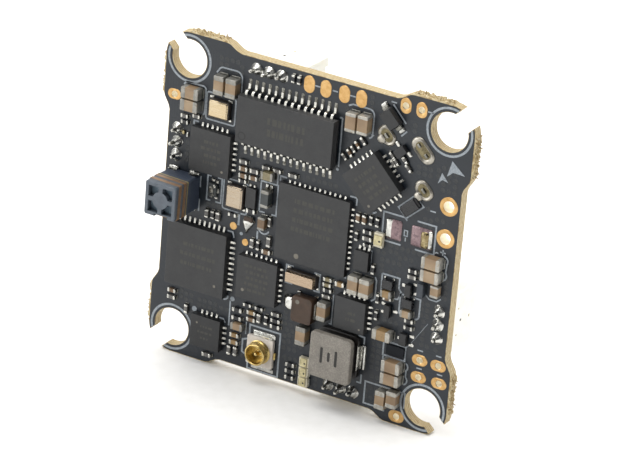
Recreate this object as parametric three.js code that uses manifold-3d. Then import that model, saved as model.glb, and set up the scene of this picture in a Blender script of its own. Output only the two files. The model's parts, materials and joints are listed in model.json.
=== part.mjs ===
// Small multirotor flight controller board, standing on edge.
// Everything is laid out on the board plane (x to the right, y up the board, n out of the component face)
// and the whole board group is then stood upright: board y becomes +Z and the component face looks along -Y.
// All dimensions are millimetres.
import * as THREE from 'three';
import { mergeVertices } from 'three/addons/utils/BufferGeometryUtils.js';
import Module from 'manifold-3d';

const wasm = await Module();
wasm.setup();

// ---------------------------------------------------------------- driving dimensions
const HOLE_PITCH = 25.5;        // mounting hole spacing, both ways
const HOLE_R = 1.72;            // mounting hole radius
const CLAW_R = 2.42;            // outside radius of the claw round each mounting hole
const CLAW_SLOT = 0.92;         // half width of the diagonal opening of each claw
const EDGE_MID = 14.5;          // half width of the board between the corner lobes
const EDGE_LOBE = HOLE_PITCH / 2 + CLAW_R;   // half width across the corner lobes
const LOBE_IN = 9.1;            // where a lobe's slope ends
const LOBE_OUT = 7.6;           // where a lobe's slope starts
const BOARD_T = 1.0;            // board thickness
const LAND_IN = 1.8;            // mounting land on the back of each claw: inner radius
const LAND_OUT = 2.34;          // outer radius
const LAND_GAP = 34;            // half angle left open towards the claw's slot, degrees
const LAND_T = 0.05;            // height of the land over the varnish
const SOLDER = 0.03;            // standoff left by the solder under each part
const SOCKET_W = 5.6;           // motor socket length along the board edge
const SOCKET_D = 3.1;           // motor socket depth across the edge
const SOCKET_H = 4.2;           // motor socket height off the back face
const SOCKET_POS = 4.75;        // motor socket centre from the board's middle line
const SOCKET_EDGE = 12.85;      // motor socket centre from the board's centre
const ANTENNA_W = 3.15;         // tower antenna, square
const ANTENNA_H = 4.0;          // tower antenna, height
const USB_W_TOP = 7.4;          // USB shell width on its wide side
const USB_W_FOOT = 5.75;        // USB shell width on the board side
const USB_H = 2.45;             // USB shell height
const USB_WALL = 0.3;           // USB shell sheet thickness
const USB_BACK = 8.8;           // rear of the shell, along the board's diagonal
const USB_FRONT = 13.65;        // mouth of the shell, along the board's diagonal, just short of the claw
const USB_TAB = 15.05;          // end of the hold-down tab that runs forward under the mouth
const BUTTON_TRAVEL = 0.25;     // boot button travel

// ---------------------------------------------------------------- materials
const mat = (color, roughness, metalness, name) =>
  new THREE.MeshStandardMaterial({ color: new THREE.Color(color), roughness, metalness, name });
const MAT = {
  mask: mat('#22272b', 0.42, 0.0, 'solder_mask'),
  ic: mat('#2f3032', 0.62, 0.0, 'ic_plastic'),
  fet: mat('#1d1e20', 0.55, 0.0, 'ic_plastic_black'),
  mlcc: mat('#a98a6c', 0.45, 0.0, 'capacitor_ceramic'),
  ferrite: mat('#8d8983', 0.6, 0.05, 'ferrite'),
  brown: mat('#594c45', 0.5, 0.0, 'moulded_inductor'),
  bead: mat('#4a4d49', 0.5, 0.0, 'bead_ceramic'),
  ceramic: mat('#2a2520', 0.5, 0.0, 'package_ceramic'),
  lid: mat('#d9b98a', 0.28, 1.0, 'gold_lid'),
  lid2: mat('#d8c7ae', 0.3, 0.9, 'pale_lid'),
  gold: mat('#d1a02f', 0.22, 1.0, 'gold_plate'),
  base: mat('#cfc6b8', 0.55, 0.0, 'socket_plastic'),
  antenna: mat('#7d858d', 0.55, 0.0, 'antenna_plastic'),
  led: mat('#dccda0', 0.45, 0.0, 'led_phosphor'),
  white: mat('#e6e2d6', 0.5, 0.0, 'connector_nylon'),
  steel: mat('#b9bbbd', 0.28, 1.0, 'nickel_shell'),
  black: mat('#141414', 0.5, 0.0, 'black_plastic'),
};

// ---------------------------------------------------------------- solid helpers
const toSolid = (geometry) => {
  const g = geometry.index ? geometry.toNonIndexed() : geometry.clone();
  g.deleteAttribute('normal');
  g.deleteAttribute('uv');
  const m = mergeVertices(g, 1e-5);
  return new wasm.Manifold(new wasm.Mesh({
    numProp: 3,
    vertProperties: new Float32Array(m.attributes.position.array),
    triVerts: new Uint32Array(m.index.array),
  }));
};
const fromSolid = (solid) => {
  const mesh = solid.getMesh();
  const n = mesh.vertProperties.length / mesh.numProp;
  const pos = new Float32Array(n * 3);
  for (let i = 0; i < n; i++)
    for (let k = 0; k < 3; k++) pos[i * 3 + k] = mesh.vertProperties[i * mesh.numProp + k];
  const g = new THREE.BufferGeometry();
  g.setAttribute('position', new THREE.BufferAttribute(pos, 3));
  g.setIndex(Array.from(mesh.triVerts));
  g.computeVertexNormals();
  return g;
};
const cut = (body, ...tools) => fromSolid(tools.reduce((s, t) => s.subtract(toSolid(t)), toSolid(body)));

// Closed body through convex sections of equal point count, lowest first, each counter-clockwise seen from +n.
const loft = (sections) => {
  const k = sections[0].pts.length;
  const pos = [];
  const idx = [];
  for (const s of sections) for (const [x, y] of s.pts) pos.push(x, y, s.n);
  for (let j = 0; j + 1 < sections.length; j++)
    for (let i = 0; i < k; i++) {
      const a = j * k + i, b = j * k + ((i + 1) % k), c = a + k, d = b + k;
      idx.push(a, b, d, a, d, c);
    }
  const top = (sections.length - 1) * k;
  for (let i = 1; i + 1 < k; i++) {
    idx.push(0, i + 1, i);
    idx.push(top, top + i, top + i + 1);
  }
  const g = new THREE.BufferGeometry();
  g.setAttribute('position', new THREE.BufferAttribute(new Float32Array(pos), 3));
  g.setIndex(idx);
  g.computeVertexNormals();
  return g;
};
// Rectangle with cut corners, grown or shrunk by `o` on every side.
const rect = (w, h, c, o = 0) => {
  const a = w / 2 + o, b = h / 2 + o, k = Math.max(c, 0.01);
  return [[a - k, -b], [a, -b + k], [a, b - k], [a - k, b], [-a + k, b], [-a, b - k], [-a, -b + k], [-a + k, -b]];
};
// Block with softened edges, from n0 to n1: the usual shape of a moulded or fired chip part.
const block = (w, h, n0, n1, c = 0.06, e = 0.05) => loft([
  { pts: rect(w, h, c, -e), n: n0 },
  { pts: rect(w, h, c), n: n0 + e },
  { pts: rect(w, h, c), n: n1 - e },
  { pts: rect(w, h, c, -e), n: n1 },
]);
// Moulded package: sides draft in slightly above and below its parting line.
const moulded = (w, h, n0, n1, e = 0.09) => loft([
  { pts: rect(w, h, 0.05, -e), n: n0 },
  { pts: rect(w, h, 0.05), n: (n0 + n1) / 2 },
  { pts: rect(w, h, 0.05, -e), n: n1 - 0.02 },
  { pts: rect(w, h, 0.05, -e - 0.02), n: n1 },
]);
const boxAt = (w, h, d, x, y, n) => {
  const g = new THREE.BoxGeometry(w, h, d);
  g.translate(x, y, n);
  return g;
};
const rodAt = (r, d, x, y, n, seg = 20) => {
  const g = new THREE.CylinderGeometry(r, r, d, seg);
  g.rotateX(Math.PI / 2);
  g.translate(x, y, n);
  return g;
};
// Turned body about the n axis from a closed profile of [radius, n] points.
const turned = (profile, seg) => {
  const g = new THREE.LatheGeometry(profile.map(([r, n]) => new THREE.Vector2(r, n)), seg);
  g.rotateX(Math.PI / 2);
  return g;
};

// ---------------------------------------------------------------- assembly groups
const object = new THREE.Group();
object.name = 'flight_controller_board';
const board = new THREE.Group();          // board plane coordinates
board.rotation.x = Math.PI / 2;
board.position.set(0, (ANTENNA_H - BOARD_T - SOCKET_H) / 2, EDGE_LOBE);
object.add(board);

const add = (name, geometry, material, x = 0, y = 0, n = 0, turn = 0) => {
  const m = new THREE.Mesh(geometry, material);
  m.name = name;
  m.position.set(x, y, n);
  m.rotation.z = THREE.MathUtils.degToRad(turn);
  board.add(m);
  return m;
};

// ---------------------------------------------------------------- circuit board
// One corner of the outline, from the right-hand edge round the claw to the top edge.
const deg = (a) => (a * Math.PI) / 180;
const cornerPath = () => {
  const c = HOLE_PITCH / 2;
  const outA = Math.asin(CLAW_SLOT / CLAW_R), inA = Math.asin(CLAW_SLOT / HOLE_R);
  const p = [[EDGE_MID, LOBE_OUT], [EDGE_MID + 0.12, LOBE_OUT + 0.45], [EDGE_LOBE - 0.1, LOBE_IN - 0.35], [EDGE_LOBE, LOBE_IN + 0.1]];
  const arc = (r, a0, a1, k) => {
    for (let i = 0; i <= k; i++) {
      const a = a0 + ((a1 - a0) * i) / k;
      p.push([c + r * Math.cos(a), c + r * Math.sin(a)]);
    }
  };
  arc(CLAW_R, 0, deg(45) - outA, 4);
  arc(HOLE_R, deg(45) - inA, deg(45) + inA - 2 * Math.PI, 26);
  arc(CLAW_R, deg(45) + outA, deg(90), 4);
  p.push([LOBE_IN + 0.1, EDGE_LOBE], [LOBE_IN - 0.35, EDGE_LOBE - 0.1], [LOBE_OUT + 0.45, EDGE_MID + 0.12], [LOBE_OUT, EDGE_MID]);
  return p;
};
const outline = [];
for (let q = 0; q < 4; q++)
  for (const [x, y] of cornerPath()) {
    const s = [[x, y], [-y, x], [-x, -y], [y, -x]][q];
    outline.push(new THREE.Vector2(s[0], s[1]));
  }
const boardShape = new THREE.Shape(outline);
const roundHole = (x, y, r, seg = 14) => {
  const p = [];
  for (let i = 0; i < seg; i++) p.push(new THREE.Vector2(x + r * Math.cos((i * 2 * Math.PI) / seg), y + r * Math.sin((i * 2 * Math.PI) / seg)));
  boardShape.holes.push(new THREE.Path(p.reverse()));
};
const slotHole = (x, y, half, r, turn) => {
  const p = [];
  for (let i = 0; i <= 5; i++) p.push([half + r * Math.cos(deg(-90 + 36 * i)), r * Math.sin(deg(-90 + 36 * i))]);
  for (let i = 0; i <= 5; i++) p.push([-half + r * Math.cos(deg(90 + 36 * i)), r * Math.sin(deg(90 + 36 * i))]);
  const c = Math.cos(deg(turn)), s = Math.sin(deg(turn));
  boardShape.holes.push(new THREE.Path(p.map(([u, v]) => new THREE.Vector2(x + u * c - v * s, y + u * s + v * c)).reverse()));
};
// wire holes: two for the battery leads, the others for signal wires
roundHole(13.37, 6.18, 0.5, 16);
roundHole(13.34, 3.25, 0.5, 16);
for (const [x, y] of [[8.47, 14.02], [9.98, 14.02], [-14.05, 9.13], [12.07, -8.44], [13.9, -8.44], [12.1, -10.03], [14.12, -10.03], [10.36, -14.36]])
  roundHole(x, y, 0.3, 12);
// slots that take the legs of the USB shell
slotHole(6.98, 10.92, 0.35, 0.36, -45);
slotHole(10.92, 6.98, 0.35, 0.36, -45);
slotHole(10.47, 10.47, 0.62, 0.34, -45);
const boardBody = new THREE.ExtrudeGeometry(boardShape, { depth: BOARD_T, bevelEnabled: false, steps: 1 });
boardBody.translate(0, 0, -BOARD_T);
// raised mounting lands round the claws on the back face: an open ring each, where a rubber damper or spacer bears
let boardSolid = toSolid(boardBody);
for (let q = 0; q < 4; q++) {
  const a0 = deg(45 + 90 * q + LAND_GAP), a1 = deg(45 + 90 * q + 360 - LAND_GAP), k = 36;
  const cx = (HOLE_PITCH / 2) * [1, -1, -1, 1][q], cy = (HOLE_PITCH / 2) * [1, 1, -1, -1][q];
  const p = [];
  for (let i = 0; i <= k; i++) p.push(new THREE.Vector2(cx + LAND_OUT * Math.cos(a0 + ((a1 - a0) * i) / k), cy + LAND_OUT * Math.sin(a0 + ((a1 - a0) * i) / k)));
  for (let i = k; i >= 0; i--) p.push(new THREE.Vector2(cx + LAND_IN * Math.cos(a0 + ((a1 - a0) * i) / k), cy + LAND_IN * Math.sin(a0 + ((a1 - a0) * i) / k)));
  const land = new THREE.ExtrudeGeometry(new THREE.Shape(p), { depth: 0.3 + LAND_T, bevelEnabled: false, steps: 1 });
  land.translate(0, 0, -BOARD_T - LAND_T);
  boardSolid = boardSolid.add(toSolid(land));
}
add('circuit_board', fromSolid(boardSolid), MAT.mask, 0, 0, 0);

// ---------------------------------------------------------------- integrated circuits, component face
const osd = cut(moulded(9.7, 4.4, 0.12, 1.12, 0.12), rodAt(0.42, 0.2, -4.1, -1.45, 1.15, 16));
add('osd_chip', osd, MAT.ic, -2.32, 9.03);
const chip = (name, x, y, w, h, top, turn = 0, dot = null) => {
  let g = block(w, h, SOLDER, top, 0.05, 0.03);
  if (dot) g = cut(g, rodAt(dot[2], 0.06, dot[0], dot[1], top, 12));
  return add(name, g, MAT.ic, x, y, 0, turn);
};
chip('main_processor', 0.84, 0.68, 7.0, 7.0, 0.55, 0, [-1.3, -2.85, 0.28]);
chip('receiver_radio_chip', -9.7, 5.0, 4.0, 4.0, 0.75, 0, [1.35, -1.45, 0.16]);
chip('video_transmitter_chip', -10.32, -5.22, 6.0, 6.0, 0.85);
chip('receiver_controller_chip', -4.12, -5.57, 4.0, 4.0, 0.72);
chip('rf_amplifier_chip', -8.92, -12.0, 3.0, 3.0, 0.72, 0, [-0.85, 0.8, 0.14]);
chip('motion_sensor_chip', 6.3, 6.6, 4.0, 4.0, 0.9, 45, [-1.45, -1.45, 0.18]);
chip('motor_controller_chip', 5.31, -6.0, 3.0, 3.0, 0.75);
chip('voltage_regulator_chip', 5.85, -0.78, 1.4, 1.8, 0.58);
add('supply_diode', moulded(1.75, 1.3, 0.06, 0.75, 0.07), MAT.fet, 7.4, 12.65, 0, -45);
add('ferrite_bead', block(0.8, 1.6, SOLDER, 0.82, 0.06, 0.05), MAT.bead, -3.9, 2.25);

// ---------------------------------------------------------------- inductors
// drum core: foot plate, drawn-in winding window filled with resin, and a chamfered head plate
const coil = loft([
  { pts: rect(4.0, 4.1, 0.5), n: SOLDER + 0.02 },
  { pts: rect(4.0, 4.1, 0.5), n: 0.5 },
  { pts: rect(3.5, 3.6, 0.9), n: 0.62 },
  { pts: rect(3.5, 3.6, 0.9), n: 1.2 },
  { pts: rect(4.05, 4.2, 0.35), n: 1.34 },
  { pts: rect(4.05, 4.2, 0.3), n: 1.84 },
  { pts: rect(3.98, 4.13, 0.28), n: 1.9 },
]);
add('power_inductor', coil, MAT.ferrite, 4.36, -9.96);
add('filter_inductor', cut(block(2.05, 2.4, SOLDER, 1.02, 0.3, 0.07), rodAt(0.22, 0.08, -0.42, 0.72, 1.03, 14)), MAT.brown, 0.72, -6.83);

// ---------------------------------------------------------------- oscillators and resonator
const can = (name, x, y, w, h, baseTop, lidW, lidH, lidTop, lidMat) => {
  add(`${name}_base`, block(w, h, SOLDER, baseTop, 0.12, 0.03), MAT.ceramic, x, y);
  add(`${name}_lid`, block(lidW, lidH, baseTop + 0.01, lidTop, 0.12, 0.03), lidMat, x, y);
};
can('receiver_oscillator', -9.28, 9.03, 2.1, 1.7, 0.46, 1.86, 1.48, 0.62, MAT.lid);
can('transmitter_oscillator', -7.07, 1.47, 1.75, 2.15, 0.46, 1.56, 1.94, 0.62, MAT.lid);
can('processor_resonator', 0.15, -4.21, 3.05, 1.2, 0.5, 2.88, 1.04, 0.85, MAT.lid2);

// ---------------------------------------------------------------- tower antenna
// square plastic tower: its outer end has a rim, a cross and a round post standing between four pockets
{
  const w = ANTENNA_W, t = ANTENNA_H, c = 0.12;
  const shaft = loft([
    { pts: rect(w - 0.1, w - 0.1, c), n: SOLDER },
    { pts: rect(w, w, c), n: 0.12 },
    { pts: rect(w, w, c), n: t - 0.08 },
    { pts: rect(w - 0.12, w - 0.12, c), n: t },
  ]);
  const pocketDepth = 1.1, rim = 0.36, rib = 0.2, post = 0.78;
  const side = w / 2 - rim - rib;
  let solid = toSolid(shaft);
  const postRod = toSolid(rodAt(post, 3, 0, 0, t, 28));
  for (const [sx, sy] of [[1, 1], [-1, 1], [-1, -1], [1, -1]]) {
    const pocket = toSolid(boxAt(side, side, pocketDepth * 2, sx * (rib + side / 2), sy * (rib + side / 2), t)).subtract(postRod);
    solid = solid.subtract(pocket);
  }
  // relief along the lower side of the outer end, and a locating notch at the foot
  solid = solid.subtract(toSolid(boxAt(1.35, 0.5, 1.6, 0.15, -w / 2, t)));
  solid = solid.subtract(toSolid(boxAt(0.7, 0.5, 0.8, -w / 2 + 0.5, w / 2, 0.2)));
  solid = solid.subtract(toSolid(boxAt(0.7, 0.5, 0.8, w / 2 - 0.5, w / 2, 0.2)));
  add('tower_antenna', fromSolid(solid), MAT.antenna, -12.4, 0.78);
}

// ---------------------------------------------------------------- coaxial antenna socket
{
  const x = -3.44, y = -12.3;
  add('antenna_socket_base', block(2.65, 2.75, SOLDER, 0.36, 0.2, 0.04), MAT.base, x, y);
  add('antenna_socket_shell', turned([[0.8, 0.38], [1.02, 0.38], [1.02, 0.55], [0.93, 0.68], [0.93, 0.9], [1.0, 1.0], [1.0, 1.18], [0.94, 1.25], [0.84, 1.25], [0.8, 1.2], [0.8, 0.38]], 32), MAT.gold, x, y);
  add('antenna_socket_pin', turned([[0, 0.38], [0.3, 0.38], [0.3, 0.5], [0.17, 0.56], [0.17, 0.98], [0.1, 1.08], [0, 1.08]], 16), MAT.gold, x, y);
}

// ---------------------------------------------------------------- status lights
add('status_led_1', block(0.95, 0.86, SOLDER, 0.52, 0.06, 0.04), MAT.led, 1.1, -11.9);
add('status_led_2', block(0.95, 0.86, SOLDER, 0.52, 0.06, 0.04), MAT.led, 1.1, -12.86);
add('status_led_3', block(0.95, 0.86, SOLDER, 0.52, 0.06, 0.04), MAT.led, 1.1, -13.79);
add('status_led_4', block(0.86, 1.3, SOLDER, 0.46, 0.06, 0.04), MAT.led, 7.22, 1.48);

// ---------------------------------------------------------------- large ceramic capacitors
// [x, y, length, width, height, 0 = long side across the board, 90 = long side up the board]
const CAPS = [
  [-9.22, 11.39, 1.75, 1.0, 0.93, 90],
  [-8.01, 11.39, 1.75, 1.05, 0.93, 90],
  [-12.04, 9.91, 1.75, 1.02, 0.93, 0],
  [-12.04, 8.77, 1.75, 1.05, 0.93, 0],
  [3.83, 11.46, 1.7, 1.02, 0.93, 90],
  [4.98, 11.5, 1.7, 1.02, 0.93, 90],
  [5.39, -3.11, 1.7, 1.0, 0.93, 90],
  [6.52, -3.11, 1.7, 1.0, 0.93, 90],
  [9.75, -9.56, 1.78, 1.05, 0.93, 0],
  [9.75, -10.74, 1.78, 1.05, 0.93, 0],
  [9.0, -12.93, 1.7, 0.95, 0.9, 90],
  [10.07, -12.6, 1.55, 0.98, 0.85, 90],
  [2.6, -6.45, 1.75, 0.92, 0.93, 90],
  [0.76, -9.32, 1.75, 1.0, 0.93, 90],
  [8.55, -6.92, 1.75, 0.94, 0.9, 0],
  [12.6, 0.97, 1.75, 1.05, 0.93, 0],
  [12.6, -0.22, 1.75, 1.05, 0.93, 0],
  [13.05, -1.57, 1.1, 0.78, 0.62, 90],
];
CAPS.forEach(([x, y, l, w, h, turn], i) => {
  add(`ceramic_capacitor_${String(i + 1).padStart(2, '0')}`, block(l, w, SOLDER, h, 0.07, 0.06), MAT.mlcc, x, y, 0, turn);
});

// ---------------------------------------------------------------- back face: motor sockets
// three-way upright sockets whose mouths look away from the back face; the pins stand near their outer wall
const socketBody = () => {
  const w = SOCKET_W, d = SOCKET_D, top = -BOARD_T - SOLDER, low = -BOARD_T - SOCKET_H;
  const body = loft([
    { pts: rect(w, d, 0.15, -0.06), n: low },
    { pts: rect(w, d, 0.15), n: low + 0.1 },
    { pts: rect(w, d, 0.15), n: top - 0.05 },
    { pts: rect(w, d, 0.15, -0.05), n: top },
  ]);
  return cut(
    body,
    boxAt(w - 1.1, d - 1.15, 6.4, 0, 0, low),                         // mouth
    boxAt(0.7, 0.8, 4.4, -w / 4, -d / 2 + 0.2, low),                  // polarising slots in the inner wall
    boxAt(0.7, 0.8, 4.4, w / 4, -d / 2 + 0.2, low),
    boxAt(0.6, d * 0.34, 3.0, -w / 2, 0, low),                        // side windows
    boxAt(0.6, d * 0.34, 3.0, w / 2, 0, low),
  );
};
add('motor_socket_top', socketBody(), MAT.white, -SOCKET_POS, SOCKET_EDGE, 0, 0);
add('motor_socket_left', socketBody(), MAT.white, -SOCKET_EDGE, SOCKET_POS, 0, 90);
add('motor_socket_bottom', socketBody(), MAT.white, SOCKET_POS, -SOCKET_EDGE, 0, 180);
add('motor_socket_right', socketBody(), MAT.white, SOCKET_EDGE, -SOCKET_POS, 0, -90);

// ---------------------------------------------------------------- back face: motor driver packages
const driver = () => block(3.6, 3.2, -BOARD_T - 0.85, -BOARD_T - SOLDER, 0.06, 0.04);
add('motor_driver_chip_top', driver(), MAT.fet, -4.75, 8.7);
add('motor_driver_chip_left', driver(), MAT.fet, -8.7, 4.2, 0, 90);
add('motor_driver_chip_bottom', driver(), MAT.fet, 4.75, -8.7);
add('motor_driver_chip_right', driver(), MAT.fet, 8.7, -4.2, 0, 90);

// ---------------------------------------------------------------- back face: USB port, turned 45 degrees towards the corner
{
  const mid = (USB_BACK + USB_FRONT) / 2, len = USB_FRONT - USB_BACK;
  // section across the port: v across, n off the board
  const top = -BOARD_T - SOLDER, low = -BOARD_T - USB_H;
  const section = (o) => {
    const a = USB_W_FOOT / 2 - o, b = USB_W_TOP / 2 - o;
    return [[-a, top - o], [a, top - o], [b, top - 0.85], [b, low + 0.2 + o], [b - 0.2, low + o], [-b + 0.2, low + o], [-b, low + 0.2 + o], [-b, top - 0.85]];
  };
  const prism = (pts, u0, u1) => {
    const s = new THREE.Shape(pts.map(([v, n]) => new THREE.Vector2(v, n)));
    const g = new THREE.ExtrudeGeometry(s, { depth: u1 - u0, bevelEnabled: false });
    // section plane (v, n) -> board, run along the port's length u
    const m = new THREE.Matrix4().makeBasis(new THREE.Vector3(0, -1, 0), new THREE.Vector3(0, 0, 1), new THREE.Vector3(-1, 0, 0));
    g.applyMatrix4(m);
    g.translate(u1 - mid, 0, 0);
    return g;
  };
  let shell = toSolid(prism(section(0), USB_BACK, USB_FRONT));
  shell = shell.subtract(toSolid(prism(section(USB_WALL), USB_BACK - 0.5, USB_FRONT + 0.5)));
  // legs into the board's slots: one each side of the body, and a pair bent down from a narrow tab that runs
  // forward along the board, clear of the plug
  const blade = (u, v, w) => toSolid(boxAt(0.3, w, 1.05, u - mid, v, top + 0.4));
  shell = shell.add(blade(12.65, 2.79, 0.75)).add(blade(12.65, -2.79, 0.75));
  shell = shell.add(toSolid(boxAt(USB_TAB - USB_FRONT + 0.4, 1.6, USB_WALL, (USB_TAB + USB_FRONT - 0.4) / 2 - mid, 0, top - USB_WALL / 2)));
  shell = shell.add(blade(14.8, 0.52, 0.5)).add(blade(14.8, -0.52, 0.5));
  // latch windows in the wide side
  shell = shell.subtract(toSolid(boxAt(1.4, 0.7, 0.8, 0.9, 1.6, low))).subtract(toSolid(boxAt(1.4, 0.7, 0.8, 0.9, -1.6, low)));
  const c = mid / Math.SQRT2;
  add('usb_shell', fromSolid(shell), MAT.steel, c, c, 0, 45);
  // insulator block at the rear with the contact tongue standing forward of it
  const g = USB_WALL + 0.05;
  let tongue = toSolid(prism(section(g), USB_BACK + 0.1, USB_BACK + 1.5));
  tongue = tongue.add(toSolid(boxAt(3.2, 3.9, 0.6, USB_BACK + 1.3 + 1.6 - mid, 0, low + 0.95)));
  add('usb_tongue', fromSolid(tongue), MAT.black, c, c, 0, 45);
}

// ---------------------------------------------------------------- back face: boot button
{
  const x = -9.6, y = -9.2, low = -BOARD_T - 1.35;
  const housing = cut(
    block(3.2, 2.6, low, -BOARD_T - SOLDER, 0.25, 0.06),
    rodAt(0.86, 1.6, 0, 0, low, 24),
  );
  add('boot_button_housing', housing, MAT.steel, x, y);
  const k = low - 0.45, foot = low + 0.42;
  const plunger = new THREE.LatheGeometry([[0, k], [0.58, k], [0.68, k + 0.1], [0.68, foot], [0, foot]].map(([r, n]) => new THREE.Vector2(r, n)), 24);
  plunger.rotateX(Math.PI / 2);
  add('boot_button_plunger', plunger, MAT.black, x, y);
}

export default object;
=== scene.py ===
import bpy
import json
import math
import random
from math import cos, sin, pi, radians, hypot, atan2
from mathutils import Vector, Matrix
from mathutils.geometry import delaunay_2d_cdt

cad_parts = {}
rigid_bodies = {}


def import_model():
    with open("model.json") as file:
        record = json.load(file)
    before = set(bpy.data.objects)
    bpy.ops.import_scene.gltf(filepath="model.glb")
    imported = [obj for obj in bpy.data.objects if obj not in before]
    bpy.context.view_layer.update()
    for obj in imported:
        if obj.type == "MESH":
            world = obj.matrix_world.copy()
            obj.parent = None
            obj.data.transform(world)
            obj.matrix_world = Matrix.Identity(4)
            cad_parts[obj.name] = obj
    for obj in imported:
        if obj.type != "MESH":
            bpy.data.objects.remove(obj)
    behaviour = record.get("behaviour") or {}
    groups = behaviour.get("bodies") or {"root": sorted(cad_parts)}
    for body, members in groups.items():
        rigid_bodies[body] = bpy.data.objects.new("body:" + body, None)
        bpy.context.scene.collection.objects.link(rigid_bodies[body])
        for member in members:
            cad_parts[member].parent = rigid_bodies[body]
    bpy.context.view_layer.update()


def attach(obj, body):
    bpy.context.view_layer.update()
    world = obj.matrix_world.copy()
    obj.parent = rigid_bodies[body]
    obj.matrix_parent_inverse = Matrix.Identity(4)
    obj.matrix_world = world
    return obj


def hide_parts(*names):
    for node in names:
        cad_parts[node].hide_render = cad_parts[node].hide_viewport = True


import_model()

RNG = random.Random(41)


def world(p):
    """Board millimetres to metres in the row frame."""
    return ((p[0]) * 1e-3, -(p[2] + 0.6) * 1e-3, (p[1] + 15.17) * 1e-3)


# ------------------------------------------------------------------ materials
def srgb(r, g, b):
    f = lambda v: (v / 255.0) / 12.92 if v <= 10 else (((v / 255.0) + 0.055) / 1.055) ** 2.4
    return (f(r), f(g), f(b), 1.0)


class Nodes:
    """Short-hand for building one material's node tree."""

    def __init__(self, name):
        self.mat = bpy.data.materials.new(name)
        self.mat.use_nodes = True
        self.t = self.mat.node_tree
        self.t.nodes.clear()
        self.out = self.t.nodes.new("ShaderNodeOutputMaterial")
        self.b = self.t.nodes.new("ShaderNodeBsdfPrincipled")
        self.t.links.new(self.b.outputs[0], self.out.inputs[0])
        self.co = self.t.nodes.new("ShaderNodeTexCoord").outputs["Object"]

    def link(self, a, b):
        self.t.links.new(a, b)

    def mapped(self, scale=(1, 1, 1), rot=(0, 0, 0), loc=(0, 0, 0)):
        m = self.t.nodes.new("ShaderNodeMapping")
        m.inputs["Scale"].default_value = scale
        m.inputs["Rotation"].default_value = rot
        m.inputs["Location"].default_value = loc
        self.link(self.co, m.inputs["Vector"])
        return m.outputs[0]

    def noise(self, scale, detail=3.0, rough=0.5, dist=0.0, vec=None):
        n = self.t.nodes.new("ShaderNodeTexNoise")
        n.inputs["Scale"].default_value = scale
        n.inputs["Detail"].default_value = detail
        n.inputs["Roughness"].default_value = rough
        n.inputs["Distortion"].default_value = dist
        self.link(vec or self.co, n.inputs["Vector"])
        return n.outputs[0]

    def voronoi(self, scale, feature="F1", vec=None, out="Distance"):
        n = self.t.nodes.new("ShaderNodeTexVoronoi")
        n.feature = feature
        n.inputs["Scale"].default_value = scale
        self.link(vec or self.co, n.inputs["Vector"])
        return n.outputs[out]

    def wave(self, scale, axis="X", dist=0.0, vec=None, profile="SIN"):
        n = self.t.nodes.new("ShaderNodeTexWave")
        n.bands_direction = axis
        n.wave_profile = profile
        n.inputs["Scale"].default_value = scale
        n.inputs["Distortion"].default_value = dist
        self.link(vec or self.co, n.inputs["Vector"])
        return n.outputs["Fac"]

    def ramp(self, fac, stops):
        n = self.t.nodes.new("ShaderNodeValToRGB")
        e = n.color_ramp.elements
        while len(e) < len(stops):
            e.new(0.5)
        for k, (p, c) in enumerate(stops):
            e[k].position = p
            e[k].color = c if len(c) == 4 else (*c, 1.0)
        self.link(fac, n.inputs[0])
        return n.outputs[0]

    def rng(self, fac, a, b, lo=0.0, hi=1.0):
        n = self.t.nodes.new("ShaderNodeMapRange")
        n.inputs["From Min"].default_value = lo
        n.inputs["From Max"].default_value = hi
        n.inputs["To Min"].default_value = a
        n.inputs["To Max"].default_value = b
        self.link(fac, n.inputs["Value"])
        return n.outputs[0]

    def math(self, op, a, b):
        n = self.t.nodes.new("ShaderNodeMath")
        n.operation = op
        for k, v in enumerate((a, b)):
            if isinstance(v, (int, float)):
                n.inputs[k].default_value = v
            else:
                self.link(v, n.inputs[k])
        return n.outputs[0]

    def mix(self, fac, a, b):
        n = self.t.nodes.new("ShaderNodeMix")
        n.data_type = "RGBA"
        for s, v in ((0, fac), (6, a), (7, b)):
            if isinstance(v, (int, float)):
                n.inputs[s].default_value = v
            elif isinstance(v, tuple):
                n.inputs[s].default_value = v
            else:
                self.link(v, n.inputs[s])
        return n.outputs[2]

    def bump(self, height, strength, distance, normal=None):
        n = self.t.nodes.new("ShaderNodeBump")
        n.inputs["Strength"].default_value = strength
        n.inputs["Distance"].default_value = distance
        self.link(height, n.inputs["Height"])
        if normal is not None:
            self.link(normal, n.inputs["Normal"])
        self.link(n.outputs[0], self.b.inputs["Normal"])
        return n.outputs[0]

    def set(self, **values):
        for k, v in values.items():
            s = self.b.inputs[k.replace("_", " ")]
            if isinstance(v, (int, float, tuple)):
                s.default_value = v
            else:
                self.link(v, s)


def speckled(name, c1, c2, rough=(0.45, 0.6), metal=0.0, scale=2500, fine=14000, bump=0.35, dist=1.2e-5, spec=0.5, coat=0.0, aniso=0.0):
    """A surface with slow colour drift, fine speckle and fine relief."""
    m = Nodes(name)
    drift = m.noise(scale, 4.0, 0.55)
    speck = m.noise(fine, 2.0, 0.6)
    fac = m.math("ADD", m.math("MULTIPLY", drift, 0.62), m.math("MULTIPLY", speck, 0.38))
    m.set(Base_Color=m.ramp(fac, [(0.3, c1), (0.7, c2)]), Metallic=metal)
    m.set(Roughness=m.rng(m.noise(scale * 1.7, 3.0), rough[0], rough[1], 0.25, 0.75))
    m.b.inputs["Specular IOR Level"].default_value = spec
    if coat:
        m.b.inputs["Coat Weight"].default_value = coat
        m.b.inputs["Coat Roughness"].default_value = 0.12
    m.bump(speck, bump, dist)
    return m.mat


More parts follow.
